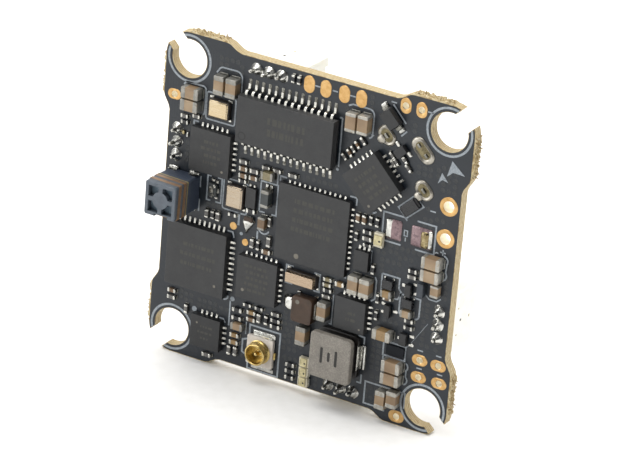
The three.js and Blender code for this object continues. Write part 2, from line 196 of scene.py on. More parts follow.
def make_solder_mask():
    m = Nodes("mask_black")
    # runs of conductors under the varnish: bands that change direction from patch to patch
    patch = m.voronoi(330, "F1", out="Color")
    sep = m.t.nodes.new("ShaderNodeSeparateColor")
    m.link(patch, sep.inputs[0])
    across = m.wave(1150, "X", 0.0)
    up = m.wave(1150, "Z", 0.0)
    slant = m.wave(760, "X", 0.0, m.mapped(rot=(0, radians(45), 0)))
    pick = m.math("GREATER_THAN", sep.outputs[0], 0.62)
    pick2 = m.math("GREATER_THAN", sep.outputs[1], 0.7)
    lines = m.mix(pick, up, across)
    lines = m.mix(pick2, lines, slant)
    on = m.math("GREATER_THAN", m.noise(260, 1.0), 0.52)
    height = m.math("MULTIPLY", m.math("GREATER_THAN", lines, 0.62), on)
    soft = m.noise(2600, 3.0, 0.6)
    big = m.noise(90, 2.0)
    base = m.ramp(big, [(0.3, srgb(10, 17, 27)), (0.7, srgb(17, 25, 33))])
    base = m.mix(m.math("MULTIPLY", height, 0.3), base, srgb(28, 36, 42))
    base = m.mix(m.math("MULTIPLY", soft, 0.12), base, srgb(44, 54, 62))
    m.set(Base_Color=base, Roughness=m.rng(m.noise(1500, 4.0), 0.3, 0.44, 0.3, 0.7))
    m.b.inputs["Specular IOR Level"].default_value = 0.5
    relief = m.math("ADD", m.math("MULTIPLY", height, 0.6), m.math("MULTIPLY", m.noise(9000, 3.0), 0.35))
    m.bump(relief, 0.3, 1.4e-5)
    return m.mat


def make_laminate():
    m = Nodes("laminate_edge")
    layers = m.wave(1450, "Y", 6.0)
    fibre = m.noise(5200, 5.0, 0.7, 0.4, m.mapped(scale=(1.0, 0.35, 1.0)))
    fac = m.math("ADD", m.math("MULTIPLY", layers, 0.45), m.math("MULTIPLY", fibre, 0.55))
    col = m.ramp(fac, [(0.2, srgb(132, 110, 70)), (0.42, srgb(164, 143, 100)), (0.62, srgb(182, 164, 124)), (0.85, srgb(204, 193, 164))])
    m.set(Base_Color=col, Roughness=m.rng(fibre, 0.45, 0.75))
    m.b.inputs["Subsurface Weight"].default_value = 0.12
    m.b.inputs["Subsurface Radius"].default_value = (0.0006, 0.0004, 0.0002)
    m.bump(m.math("ADD", fibre, m.math("MULTIPLY", layers, 0.6)), 0.7, 4e-5)
    return m.mat


def make_epoxy(name, c1, c2, rough=(0.42, 0.55)):
    m = Nodes(name)
    grain = m.voronoi(17000, "F1")
    drift = m.noise(700, 3.0)
    speck = m.noise(30000, 2.0, 0.7)
    base = m.ramp(drift, [(0.3, c1), (0.7, c2)])
    flecks = m.rng(m.math("GREATER_THAN", speck, 0.64), 0.0, 0.22)
    base = m.mix(flecks, base, srgb(96, 96, 94))
    m.set(Base_Color=base, Roughness=m.rng(m.noise(4000, 3.0), rough[0], rough[1], 0.3, 0.7))
    m.b.inputs["Specular IOR Level"].default_value = 0.5
    m.bump(m.math("ADD", m.math("MULTIPLY", grain, 0.6), speck), 0.34, 7e-6)
    return m.mat


def make_metal(name, c1, c2, rough=(0.12, 0.26), scale=1500, bump=0.5, dist=2.5e-5, metal=1.0, stain=None):
    m = Nodes(name)
    wrinkle = m.noise(scale, 3.0, 0.55, 0.3)
    fine = m.noise(scale * 7, 3.0, 0.6)
    base = m.ramp(m.math("ADD", m.math("MULTIPLY", wrinkle, 0.7), m.math("MULTIPLY", fine, 0.3)), [(0.32, c1), (0.68, c2)])
    if stain:
        base = m.mix(m.rng(m.math("GREATER_THAN", m.noise(scale * 2.2, 4.0), 0.61), 0.0, 0.5), base, stain)
    m.set(Base_Color=base, Metallic=metal, Roughness=m.rng(fine, rough[0], rough[1], 0.3, 0.7))
    m.bump(m.math("ADD", wrinkle, m.math("MULTIPLY", fine, 0.18)), bump, dist)
    return m.mat


def make_silk():
    m = Nodes("legend_ink")
    cover = m.noise(7000, 4.0, 0.7)
    base = m.ramp(cover, [(0.24, srgb(84, 92, 100)), (0.42, srgb(132, 140, 147)), (0.7, srgb(160, 166, 171))])
    m.set(Base_Color=base, Roughness=m.rng(cover, 0.5, 0.7))
    m.bump(cover, 0.5, 8e-6)
    return m.mat


def make_capacitor():
    m = Nodes("capacitor_body")
    drift = m.noise(520, 2.0)
    speck = m.noise(16000, 3.0, 0.65)
    base = m.ramp(drift, [(0.3, srgb(112, 88, 62)), (0.52, srgb(134, 110, 82)), (0.72, srgb(152, 131, 104))])
    base = m.mix(m.math("MULTIPLY", speck, 0.2), base, srgb(186, 168, 140))
    m.set(Base_Color=base, Roughness=m.rng(m.noise(3500, 3.0), 0.3, 0.46, 0.3, 0.7))
    m.bump(speck, 0.3, 9e-6)
    return m.mat


def make_gold(name="gold_finish", c1=srgb(170, 144, 80), c2=srgb(220, 198, 138), rough=(0.22, 0.36)):
    return make_metal(name, c1, c2, rough, 2600, 0.3, 1.2e-5)


def make_inductor_top():
    m = Nodes("inductor_head")
    grain = m.voronoi(9000, "F1")
    drift = m.noise(800, 4.0, 0.6)
    base = m.ramp(m.math("ADD", m.math("MULTIPLY", drift, 0.6), m.math("MULTIPLY", grain, 0.5)), [(0.3, srgb(102, 98, 92)), (0.6, srgb(128, 123, 115)), (0.8, srgb(144, 139, 131))])
    pits = m.math("GREATER_THAN", m.noise(6500, 3.0), 0.66)
    base = m.mix(m.math("MULTIPLY", pits, 0.45), base, srgb(72, 70, 68))
    m.set(Base_Color=base, Roughness=m.rng(drift, 0.5, 0.68), Metallic=0.12)
    m.bump(m.math("SUBTRACT", m.math("MULTIPLY", grain, 0.8), pits), 0.4, 1.6e-5)
    return m.mat


def make_nylon():
    m = Nodes("nylon_ivory")
    drift = m.noise(900, 4.0, 0.55)
    speck = m.noise(9000, 2.0, 0.6)
    m.set(Base_Color=m.ramp(m.math("ADD", m.math("MULTIPLY", drift, 0.62), m.math("MULTIPLY", speck, 0.38)), [(0.3, srgb(241, 237, 223)), (0.7, srgb(250, 248, 239))]), Roughness=m.rng(drift, 0.36, 0.5, 0.25, 0.75))
    m.b.inputs["Subsurface Weight"].default_value = 0.35
    m.b.inputs["Subsurface Radius"].default_value = (1.0, 0.95, 0.8)
    m.b.inputs["Subsurface Scale"].default_value = 0.0009
    m.bump(speck, 0.3, 1.2e-5)
    return m.mat


def make_antenna():
    m = Nodes("antenna_slate")
    drift = m.noise(1900, 4.0, 0.55)
    speck = m.noise(12000, 2.0, 0.6)
    pale = m.ramp(m.math("ADD", m.math("MULTIPLY", drift, 0.62), m.math("MULTIPLY", speck, 0.38)), [(0.3, srgb(66, 74, 83)), (0.7, srgb(90, 98, 107))])
    # darker and bluer towards its foot
    xyz = m.t.nodes.new("ShaderNodeSeparateXYZ")
    m.link(m.co, xyz.inputs[0])
    lift = m.math("ADD", xyz.outputs[1], m.math("MULTIPLY", drift, 0.0003))
    base = m.mix(m.rng(lift, 0.0, 0.82, -0.0034, -0.0018), pale, srgb(36, 46, 64))
    m.set(Base_Color=base, Roughness=m.rng(m.noise(3200, 3.0), 0.42, 0.58, 0.25, 0.75))
    m.bump(speck, 0.45, 1.6e-5)
    return m.mat


def make_brushed(name, c1, c2, axis="X"):
    m = Nodes(name)
    sc = (1.0, 1.0, 26.0) if axis == "X" else (26.0, 1.0, 1.0)
    lines = m.noise(1300, 4.0, 0.6, 0.0, m.mapped(scale=sc))
    base = m.ramp(lines, [(0.3, c1), (0.7, c2)])
    m.set(Base_Color=base, Metallic=1.0, Roughness=m.rng(lines, 0.2, 0.36, 0.3, 0.7))
    m.bump(lines, 0.25, 8e-6)
    return m.mat


M = {
    "mask": make_solder_mask(),
    "edge": make_laminate(),
    "ic": make_epoxy("epoxy_grey", srgb(30, 31, 33), srgb(39, 40, 41)),
    "ic2": make_epoxy("epoxy_dark", srgb(18, 19, 21), srgb(27, 28, 30), (0.36, 0.5)),
    "faint": speckled("laser_faint", srgb(49, 49, 46), srgb(62, 61, 55), (0.56, 0.7)),
    "mark": speckled("laser_mark", srgb(96, 92, 84), srgb(122, 117, 106), (0.6, 0.75)),
    "silk": make_silk(),
    "tin": make_metal("tin_bright", srgb(150, 150, 145), srgb(222, 220, 212), (0.16, 0.34), 2600, 0.7, 3e-5),
    "satin": make_metal("solder_satin", srgb(126, 122, 113), srgb(188, 183, 172), (0.3, 0.46), 1500, 0.6, 3e-5, 0.9),
    "olive": make_metal("solder_olive", srgb(72, 66, 48), srgb(132, 123, 96), (0.24, 0.42), 1500, 0.8, 4e-5, 0.9, srgb(62, 58, 44)),
    "dull": make_metal("solder_dull", srgb(92, 91, 86), srgb(152, 151, 144), (0.24, 0.42), 1700, 0.7, 3.5e-5, 1.0, srgb(78, 74, 64)),
    "solder": make_metal("solder_joint", srgb(146, 147, 144), srgb(228, 227, 221), (0.1, 0.26), 1200, 1.0, 6e-5, 1.0, srgb(84, 79, 70)),
    "capend": make_metal("cap_terminal", srgb(112, 111, 107), srgb(158, 156, 149), (0.34, 0.5), 2300, 0.5, 2.2e-5, 0.72, srgb(126, 112, 90)),
    "capend2": make_metal("cap_terminal_pale", srgb(134, 132, 126), srgb(182, 179, 170), (0.34, 0.5), 2300, 0.5, 2.2e-5, 0.6, srgb(146, 132, 108)),
    "mlcc": make_capacitor(),
    "mlcc_brown": speckled("cap_brown", srgb(86, 67, 48), srgb(122, 98, 72), (0.34, 0.5)),
    "mlcc_olive": speckled("cap_olive", srgb(98, 90, 64), srgb(136, 126, 96), (0.34, 0.5)),
    "mlcc_grey": speckled("cap_grey", srgb(74, 74, 74), srgb(110, 107, 102), (0.36, 0.5)),
    "mlcc_gold": speckled("cap_amber", srgb(118, 94, 58), srgb(154, 127, 88), (0.34, 0.5)),
    "resist": speckled("resistor_glass", srgb(16, 17, 20), srgb(30, 31, 34), (0.2, 0.34)),
    "gold": make_gold(),
    "pad": make_gold("pad_gold", srgb(176, 136, 82), srgb(205, 170, 118), (0.26, 0.42)),
    # hole walls painted near white: painted light standing for the bright floor seen through the holes
    "bore_painted_glow": speckled("pad_bore_painted_glow", srgb(250, 238, 208), srgb(255, 252, 240), (0.3, 0.5)),
    "lid": make_brushed("lid_gold", srgb(180, 160, 124), srgb(200, 186, 160)),
    "lidp": make_brushed("lid_rose", srgb(160, 142, 118), srgb(178, 168, 154)),
    "lid2": make_brushed("lid_pale", srgb(150, 130, 108), srgb(182, 164, 144)),
    "ceramic": speckled("package_brown", srgb(30, 25, 21), srgb(46, 38, 32), (0.4, 0.55)),
    "brown": speckled("moulded_brown", srgb(52, 39, 29), srgb(74, 56, 43), (0.36, 0.5), scale=1600, spec=0.36),
    "ferrite": make_inductor_top(),
    "drum": speckled("winding_resin", srgb(14, 13, 12), srgb(34, 30, 27), (0.3, 0.5), scale=1800),
    "bead": speckled("bead_grey", srgb(40, 45, 46), srgb(58, 62, 62), (0.36, 0.5)),
    "slate": speckled("bead_slate", srgb(38, 45, 53), srgb(52, 59, 67), (0.36, 0.5)),
    "led": speckled("led_lens", srgb(158, 146, 104), srgb(206, 196, 152), (0.24, 0.4), scale=2600, coat=0.3),
    "ledcase": speckled("led_case", srgb(182, 174, 150), srgb(214, 208, 188), (0.4, 0.55)),
    "base": speckled("lcp_cream", srgb(186, 178, 170), srgb(214, 207, 198), (0.42, 0.58)),
    "antenna": make_antenna(),
    # pocket floor painted lighter than the antenna body: painted light standing for light reaching into the pockets
    "antenna_pocket_painted_light": speckled("antenna_inner_painted_light", srgb(78, 96, 110), srgb(102, 120, 132), (0.5, 0.62), 0.0, 1900, 12000, 0.4, 1.6e-5),
    "copper": speckled("antenna_copper", srgb(112, 84, 60), srgb(146, 118, 88), (0.36, 0.52), 0.2, 1900, 9000, 0.5, 2e-5),
    "copper2": speckled("antenna_straw", srgb(128, 112, 66), srgb(164, 148, 96), (0.36, 0.52), 0.2, 1900, 9000, 0.5, 2e-5),
    "nylon": make_nylon(),
    "steel": make_brushed("shell_nickel", srgb(150, 152, 154), srgb(178, 180, 181)),
    "black": speckled("plastic_black", srgb(14, 14, 15), srgb(26, 26, 27), (0.36, 0.5)),
    "pink": make_metal("shunt_pink", srgb(104, 86, 90), srgb(150, 130, 132), (0.22, 0.42), 1100, 0.8, 5e-5, 0.9, srgb(84, 72, 78)),
    "fluxed": make_metal("solder_fluxed", srgb(96, 78, 46), srgb(176, 164, 128), (0.12, 0.3), 1400, 1.0, 6e-5, 1.0, srgb(58, 48, 32)),
    "jet": speckled("resistor_jet", srgb(8, 12, 18), srgb(18, 23, 30), (0.3, 0.42), spec=0.16),
    "hole": speckled("hole_dark", srgb(10, 10, 11), srgb(20, 20, 21), (0.5, 0.7)),
    "via": speckled("via_tented", srgb(24, 28, 31), srgb(40, 44, 47), (0.28, 0.4)),
}


# ------------------------------------------------------------------ mesh building
class Piece:
    def __init__(self, name):
        self.name, self.v, self.f, self.m, self.s, self.mats = name, [], [], [], [], []

    def idx(self, mat):
        if mat not in self.mats:
            self.mats.append(mat)
        return self.mats.index(mat)

    def add(self, verts, faces, mat, smooth=True):
        k, i = len(self.v), self.idx(mat)
        self.v.extend(verts)
        for f in faces:
            self.f.append([k + j for j in f])
            self.m.append(i)
            self.s.append(smooth)

    def done(self, body="board", replaces=(), angle=38):
        me = bpy.data.meshes.new(self.name)
        me.from_pydata([world(p) for p in self.v], [], self.f)
        me.polygons.foreach_set("material_index", self.m)
        me.polygons.foreach_set("use_smooth", self.s)
        for k in self.mats:
            me.materials.append(M[k])
        me.update()
        me.validate()
        me.set_sharp_from_angle(angle=radians(angle))
        o = bpy.data.objects.new(self.name, me)
        bpy.context.scene.collection.objects.link(o)
        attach(o, body)
        if replaces:
            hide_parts(*replaces)
        return o


def turned(pts, x, y, rot=0.0):
    c, s = cos(radians(rot)), sin(radians(rot))
    return [(x + p[0] * c - p[1] * s, y + p[0] * s + p[1] * c, p[2]) for p in pts]


def rr(w, h, r, k=3, o=0.0):
    """Rounded rectangle, counter-clockwise, grown by o."""
    a, b = w / 2 + o, h / 2 + o
    r = min(max(r + o, 0.004), a, b)
    out = []
    for cx, cy, a0 in ((a - r, b - r, 0), (-a + r, b - r, 90), (-a + r, -b + r, 180), (a - r, -b + r, 270)):
        for i in range(k + 1):
            t = radians(a0 + 90.0 * i / k)
            out.append((cx + r * cos(t), cy + r * sin(t)))
    return out


def loft(P, mat, sections, x=0.0, y=0.0, rot=0.0, smooth=True, top=None, bottom=True):
    k = len(sections[0][0])
    verts = [(px, py, n) for pts, n in sections for px, py in pts]
    verts = turned(verts, x, y, rot)
    side = []
    for j in range(len(sections) - 1):
        for i in range(k):
            a, b = j * k + i, j * k + (i + 1) % k
            side.append((a, b, b + k, a + k))
    if bottom:
        side.append(tuple(range(k - 1, -1, -1)))
    P.add(verts, side, mat, smooth)
    t = (len(sections) - 1) * k
    P.add(verts[t:], [tuple(range(k))], top or mat, smooth)


def brick(P, mat, x, y, w, h, n0, n1, rot=0.0, r=0.05, e=0.04, k=2, top=None, draft=0.0):
    """Block with rounded upright corners and a rounded upper rim. n1 may lie below n0, for the back face."""
    s = 1 if n1 > n0 else -1
    e = min(e, abs(n1 - n0) * 0.6)
    sec = [(rr(w, h, r, k, -draft), n0)]
    if draft:
        sec.append((rr(w, h, r, k), (n0 + n1) / 2))
    for a in (0, 30, 60, 90):
        sec.append((rr(w, h, r, k, -e * (1 - cos(radians(a))) - (draft if draft else 0) * 0.9), n1 - s * e * (1 - sin(radians(a)))))
    if s < 0:
        sec = [([(p, -q) for p, q in pts], n) for pts, n in sec]
        verts_rot = rot
        sec = [(pts, n) for pts, n in sec]
    loft(P, mat, sec, x, y, rot, True, top)


def lathe(P, mat, x, y, prof, seg=24, rot=0.0, sx=1.0, sy=1.0, wob=0.0, seed=0, smooth=True, a0=0.0):
    """Turned form about n from (radius, n) points, lowest first. wob makes it uneven, as solder is."""
    rnd = random.Random(seed * 7919 + 13)
    ph = [rnd.uniform(0, 2 * pi) for _ in range(4)]
    verts, rings = [], []
    for r, n in prof:
        if r < 1e-6:
            rings.append([len(verts)])
            verts.append((0.0, 0.0, n))
            continue
        ring = []
        for i in range(seg):
            t = 2 * pi * i / seg + a0
            q = 1.0 + wob * (0.5 * sin(2 * t + ph[0] + n * 3) + 0.35 * sin(3 * t + ph[1] - n * 5) + 0.25 * sin(5 * t + ph[2] + n * 9))
            ring.append(len(verts))
            verts.append((r * q * cos(t) * sx, r * q * sin(t) * sy, n + wob * 0.12 * sin(3 * t + ph[3])))
        rings.append(ring)
    faces = []
    for a, b in zip(rings, rings[1:]):
        for i in range(seg):
            j = (i + 1) % seg
            if len(a) == 1 and len(b) == 1:
                continue
            if len(a) == 1:
                faces.append((a[0], b[j], b[i]) if False else (a[0], b[i], b[j])[::-1])
            elif len(b) == 1:
                faces.append((a[i], a[j], b[0]))
            else:
                faces.append((a[i], a[j], b[j], b[i]))
    P.add(turned(verts, x, y, rot), faces, mat, smooth)


def strip(P, mat, pts, w, n0=0.0, n1=0.016, closed=False):
    """Flat printed line along a polyline, with mitred corners."""
    m = len(pts)
    L, R = [], []
    for i in range(m):
        p = Vector(pts[i])
        a = Vector(pts[i - 1]) if (i > 0 or closed) else None
        b = Vector(pts[(i + 1) % m]) if (i < m - 1 or closed) else None
        d1 = (p - a).normalized() if a is not None else None
        d2 = (b - p).normalized() if b is not None else None
        if d1 is None:
            d1 = d2
        if d2 is None:
            d2 = d1
        t = d1 + d2
        t = t.normalized() if t.length > 1e-6 else d1
        nrm = Vector((-t.y, t.x))
        k = max(0.35, nrm.dot(Vector((-d1.y, d1.x))))
        q = nrm * (w / 2 / k)
        L.append(p + q)
        R.append(p - q)
    verts, faces = [], []
    for l, r in zip(L, R):
        verts += [(l.x, l.y, n0), (r.x, r.y, n0), (l.x, l.y, n1), (r.x, r.y, n1)]
    up = n1 > n0
    for i in range(m if closed else m - 1):
        a, b = 4 * i, 4 * ((i + 1) % m)
        q = [(a + 2, a + 3, b + 3, b + 2), (a + 1, b + 1, b + 3, a + 3), (a, a + 2, b + 2, b), (a, b, b + 1, a + 1)]
        faces += q if up else [f[::-1] for f in q]
    if not closed:
        e = 4 * (m - 1)
        q = [(0, 1, 3, 2), (e, e + 2, e + 3, e + 1)]
        faces += q if up else [f[::-1] for f in q]
    P.add(verts, faces, mat, False)


def arc(x, y, r, a0, a1, k=24, ry=None):
    ry = r if ry is None else ry
    return [(x + r * cos(radians(a0 + (a1 - a0) * i / k)), y + ry * sin(radians(a0 + (a1 - a0) * i / k))) for i in range(k + 1)]


def plate(P, mat, pts, n0, n1, smooth=False):
    """Thin flat prism on a counter-clockwise outline."""
    k = len(pts)
    up = n1 > n0
    verts = [(x, y, n0) for x, y in pts] + [(x, y, n1) for x, y in pts]
    faces = [(i, (i + 1) % k, k + (i + 1) % k, k + i) for i in range(k)] + [tuple(range(k, 2 * k)), tuple(range(k - 1, -1, -1))]
    if not up:
        faces = [f[::-1] for f in faces]
    P.add(verts, faces, mat, smooth)


def extrude_uv(P, mat, prof, half, x, y, rot, smooth=True):
    """Prism on a (u, n) profile, u along the turned x axis, running from -half to half across it."""
    k = len(prof)
    verts = [(u, -half, n) for u, n in prof] + [(u, half, n) for u, n in prof]
    area = sum(prof[i][0] * prof[(i + 1) % k][1] - prof[(i + 1) % k][0] * prof[i][1] for i in range(k))
    # seen from -v, (u, n) runs counter-clockwise when area is positive
    faces = [(i, (i + 1) % k, k + (i + 1) % k, k + i) for i in range(k)]
    caps = [tuple(range(k - 1, -1, -1)), tuple(range(k, 2 * k))]
    if area > 0:
        faces = [f for f in faces]
        caps = [tuple(range(k)), tuple(range(2 * k - 1, k - 1, -1))]
        faces = [f[::-1] for f in faces]
    P.add(turned(verts, x, y, rot), faces, mat, smooth)
    P.add(turned(verts, x, y, rot), caps, mat, False)


def fillet(P, x, y, rot, reach, rise, half, n0=0.0, mat="solder"):
    """Concave solder meniscus that climbs a part's end face; it starts at (x, y) and runs outwards along rot."""
    s = 1 if rise > 0 else -1
    prof = [(-0.03, n0)]
    for i in range(6):
        t = i / 5
        prof.append((reach * (1 - t) ** 1.0, n0 + s * 0.02 + (rise - s * 0.02) * (t ** 2.1)))
    prof.append((-0.03, n0 + rise))
    prof.insert(1, (reach, n0))
    extrude_uv(P, mat, prof, half, x, y, rot)


TAKEN = []


def take(x, y, w, h, rot=0.0):
    c, s = abs(cos(radians(rot))), abs(sin(radians(rot)))
    TAKEN.append((x, y, (w * c + h * s) / 2, (w * s + h * c) / 2))


def chipcap(P, x, y, L, Wd, H, turn=0, body="mlcc", cap=0.27, end="capend", n0=0.03, reach=0.16, rise=0.45, back=False):
    """Two-terminal chip part. turn 0 lays its length along x."""
    s = -1 if back else 1
    z = -1.0 if back else 0.0
    cl = L * cap
    brick(P, body, x, y, L - cl * 1.2, Wd - 0.04, z + s * n0, z + s * (H - 0.02), turn, 0.03, 0.03, 1)
    c, d = cos(radians(turn)), sin(radians(turn))
    for q in (-1, 1):
        ex, ey = x + q * (L / 2 - cl / 2) * c, y + q * (L / 2 - cl / 2) * d
        brick(P, end, ex, ey, cl, Wd, z + s * n0, z + s * H, turn, min(0.09, Wd * 0.18), min(0.07, H * 0.2), 2)
        if reach:
            fillet(P, x + q * L / 2 * c, y + q * L / 2 * d, turn + (0 if q > 0 else 180), reach, s * H * rise, Wd * 0.4, z, "dull")
    if not back:
        take(x, y, L + 0.3, Wd + 0.1, turn)


def resistor(P, x, y, L=0.95, Wd=0.5, H=0.32, turn=0, back=False, body="resist"):
    chipcap(P, x, y, L, Wd, H, turn, body, 0.24, "tin", 0.02, 0.12, 0.7, back)


def pads_on(P, x, y, w, h, per, pitch, ext_, rot, sides="ENWS", padw=None, mat="tin", z=0.0, s=1, climb=0.22, back_ext=None):
    padw = padw or pitch * 0.42
    for k, side in enumerate("ENWS"):
        if side not in sides:
            continue
        n = per[k] if isinstance(per, (list, tuple)) else per
        ext = back_ext if back_ext is not None and side in "WS" else ext_
        half = (w if side in "EW" else h) / 2
        for i in range(n):
            t = (i - (n - 1) / 2) * pitch
            a = 90 * k
            lx, ly = half + ext / 2 - 0.05, t
            gx, gy = lx * cos(radians(a)) - ly * sin(radians(a)), lx * sin(radians(a)) + ly * cos(radians(a))
            X, Y = x + gx * cos(radians(rot)) - gy * sin(radians(rot)), y + gx * sin(radians(rot)) + gy * cos(radians(rot))
            brick(P, mat, X, Y, ext + 0.1, padw, z, z + s * 0.05, rot + a, padw * 0.3, 0.03, 2)
            if climb:
                bx, by = half, t
                gx, gy = bx * cos(radians(a)) - by * sin(radians(a)), bx * sin(radians(a)) + by * cos(radians(a))
                X, Y = x + gx * cos(radians(rot)) - gy * sin(radians(rot)), y + gx * sin(radians(rot)) + gy * cos(radians(rot))
                fillet(P, X, Y, rot + a, ext * 0.8, s * climb, padw * 0.42, z + s * 0.03, mat)


def dashes(P, x, y, top, rot, rows, pitch, tall, width, seed, gap=0.16, mat="faint"):
    """Rows of plain laser-dulled dashes, standing for a maker's marking without repeating one."""
    rnd = random.Random(seed)
    c, s = cos(radians(rot)), sin(radians(rot))
    for r in range(rows):
        v = ((rows - 1) / 2 - r) * pitch
        u = -width / 2 + rnd.uniform(0, 0.35)
        while u < width / 2 - 0.2:
            ln = min(rnd.choice((0.12, 0.2, 0.26, 0.32, 0.44)), width / 2 - u)
            px, py = u + ln / 2, v
            quad = [(-ln / 2, -tall / 2), (ln / 2, -tall / 2), (ln / 2, tall / 2), (-ln / 2, tall / 2)]
            plate(P, mat, [(x + (px + a) * c - (py + b) * s, y + (px + a) * s + (py + b) * c) for a, b in quad], top - 0.002, top + 0.0015)
            u += ln + gap * rnd.uniform(0.6, 1.3)


MARKS = {
    "processor": (0.0, 0.9, 4, 0.86, 0.4, 4.4), "radio_chip": (0.1, 0.0, 4, 0.62, 0.28, 2.0), "video_chip": (0.2, 0.3, 3, 0.9, 0.34, 3.6),
    "controller_chip": (0.0, 0.1, 5, 0.56, 0.26, 2.6), "motion_chip": (0.0, 0.0, 4, 0.66, 0.32, 2.6), "motor_chip": (0.1, -0.1, 2, 0.6, 0.26, 1.1), "amplifier_chip": (0.0, 0.0, 3, 0.56, 0.2, 1.5),
}


def flatchip(name, node, x, y, w, h, top, per, pitch, ext, rot=0, dot=None, mat="ic", sides="ENWS", padw=None, climb=0.1):
    P = Piece(name)
    brick(P, mat, x, y, w, h, 0.03, top, rot, 0.04, 0.025, 2)
    if dot:
        dx, dy, dr = dot
        c, s = cos(radians(rot)), sin(radians(rot))
        lathe(P, "mark" if len(dot) == 3 else mat, x + dx * c - dy * s, y + dx * s + dy * c, [(dr, top - 0.01), (dr, top + 0.002), (dr * 0.92, top + 0.004), (0, top + 0.003)], 18)
    if name in MARKS:
        mx, my, rows, mp, tall, wd = MARKS[name]
        c, s = cos(radians(rot)), sin(radians(rot))
        dashes(P, x + mx * c - my * s, y + mx * s + my * c, top, rot, rows, mp, tall, wd, len(name) * 17)
    pads_on(P, x, y, w, h, per, pitch, ext, rot, sides, padw, climb=climb, back_ext=min(ext, top * 0.4 - 0.04) if not rot else None)
    take(x, y, w + 2 * ext, h + 2 * ext, rot)
    return P.done(replaces=(node,))


def joint(P, x, y, r0=0.72, h=0.62, pin=1.25, lean=(0.0, 0.0), seed=1, mat="solder", sx=1.0, sy=1.0, rot=0.0, pinw=0.34):
    """A through-hole solder cone with the end of its pin standing out of it."""
    prof = [(r0, 0.0), (r0 * 1.0, 0.03)]
    for i in range(1, 8):
        t = i / 7
        prof.append((r0 * (1 - t) ** 0.8 * 0.98 + 0.19 * t, 0.04 + h * t ** 1.35))
    prof += [(0.12, h + 0.09), (0, h + 0.11)]
    lathe(P, mat, x, y, prof, 22, rot, sx, sy, 0.09, seed)
    if pin:
        sec = []
        for t in (0.0, 0.35, 0.7, 0.93, 1.0):
            k = 1.0 if t < 0.9 else (0.82 if t < 1.0 else 0.45)
            n = h * 0.5 + (pin - h * 0.5) * t
            ox, oy = lean[0] * t, lean[1] * t
            sec.append(([(px + ox, py + oy) for px, py in rr(pinw * k, pinw * k, 0.07, 2)], n))
        loft(P, "tin", sec, x, y, RNG.uniform(0, 90))


def puddle(P, x, y, w, h, n=0.12, rot=0.0, r=None, mat="solder", seed=0, z=0.0):
    """Shallow solder cushion on a rectangular pad."""
    r = r if r is not None else min(w, h) * 0.3
    sec = [(rr(w, h, r, 4), z), (rr(w, h, r, 4), z + 0.025)]
    for a in (20, 45, 70):
        sec.append((rr(w, h, r, 4, -min(w, h) * 0.42 * (1 - cos(radians(a)))), z + 0.025 + n * sin(radians(a))))
    loft(P, mat, sec, x, y, rot)


# ------------------------------------------------------------------ circuit board
HOLE_PITCH, HOLE_R, CLAW_R, CLAW_SLOT = 25.5, 1.72, 2.42, 0.92
EDGE_MID, EDGE_LOBE, LOBE_IN, LOBE_OUT, BOARD_T = 14.5, 15.17, 9.1, 7.6, 1.0


def corner_path():
    c = HOLE_PITCH / 2
    oa, ia = math.asin(CLAW_SLOT / CLAW_R), math.asin(CLAW_SLOT / HOLE_R)
    p = [(EDGE_MID, LOBE_OUT, 0), (EDGE_MID + 0.06, LOBE_OUT + 0.22, 0), (EDGE_MID + 0.14, LOBE_OUT + 0.45, 0), (EDGE_LOBE - 0.1, LOBE_IN - 0.35, 0), (EDGE_LOBE - 0.03, LOBE_IN - 0.12, 0)]
    k = 22
    for i in range(k + 1):
        p.append((EDGE_LOBE, LOBE_IN + 0.1 + (c - LOBE_IN - 0.1) * i / k, 1))

    def ring(r, a0, a1, n):
        for i in range(n + 1):
            a = a0 + (a1 - a0) * i / n
            p.append((c + r * cos(a), c + r * sin(a), 0))

    ring(CLAW_R, 0.06, radians(45) - oa, 8)
    ring(HOLE_R, radians(45) - ia, radians(45) + ia - 2 * pi, 60)
    ring(CLAW_R, radians(45) + oa, radians(90) - 0.06, 8)
    for i in range(k + 1):
        p.append((c + (LOBE_IN + 0.1 - c) * i / k, EDGE_LOBE, 1))
    p += [(LOBE_IN - 0.12, EDGE_LOBE - 0.03, 0), (LOBE_IN - 0.35, EDGE_LOBE - 0.1, 0), (LOBE_OUT + 0.45, EDGE_MID + 0.14, 0), (LOBE_OUT + 0.22, EDGE_MID + 0.06, 0), (LOBE_OUT, EDGE_MID, 0)]
    return p


def board_outline():
    out = []
    for q in range(4):
        for x, y, torn in corner_path():
            sx, sy = [(x, y), (-y, x), (-x, -y), (y, -x)][q]
            out.append((sx, sy, torn))
    return out


def inside(poly, x, y):
    hit = False
    j = len(poly) - 1
    for i in range(len(poly)):
        xi, yi, xj, yj = poly[i][0], poly[i][1], poly[j][0], poly[j][1]
        if (yi > y) != (yj > y) and x < (xj - xi) * (y - yi) / (yj - yi) + xi:
            hit = not hit
        j = i
    return hit


ROUND = [(13.37, 6.18, 0.5), (13.34, 3.25, 0.5)] + [(x, y, 0.3) for x, y in ((8.47, 14.02), (9.98, 14.02), (-14.05, 9.13), (12.07, -8.44), (13.9, -8.44), (12.1, -10.03), (14.12, -10.03), (10.36, -14.36))]
SLOTS = [(6.98, 10.92, 0.35, 0.36), (10.92, 6.98, 0.35, 0.36), (10.47, 10.47, 0.62, 0.34)]


def slot_loop(x, y, half, r, rot=-45, k=8):
    p = [(half + r * cos(radians(-90 + 180 * i / k)), r * sin(radians(-90 + 180 * i / k))) for i in range(k + 1)]
    p += [(-half + r * cos(radians(90 + 180 * i / k)), r * sin(radians(90 + 180 * i / k))) for i in range(k + 1)]
    return [(a, b) for a, b, _ in turned([(u, v, 0) for u, v in p], x, y, rot)]


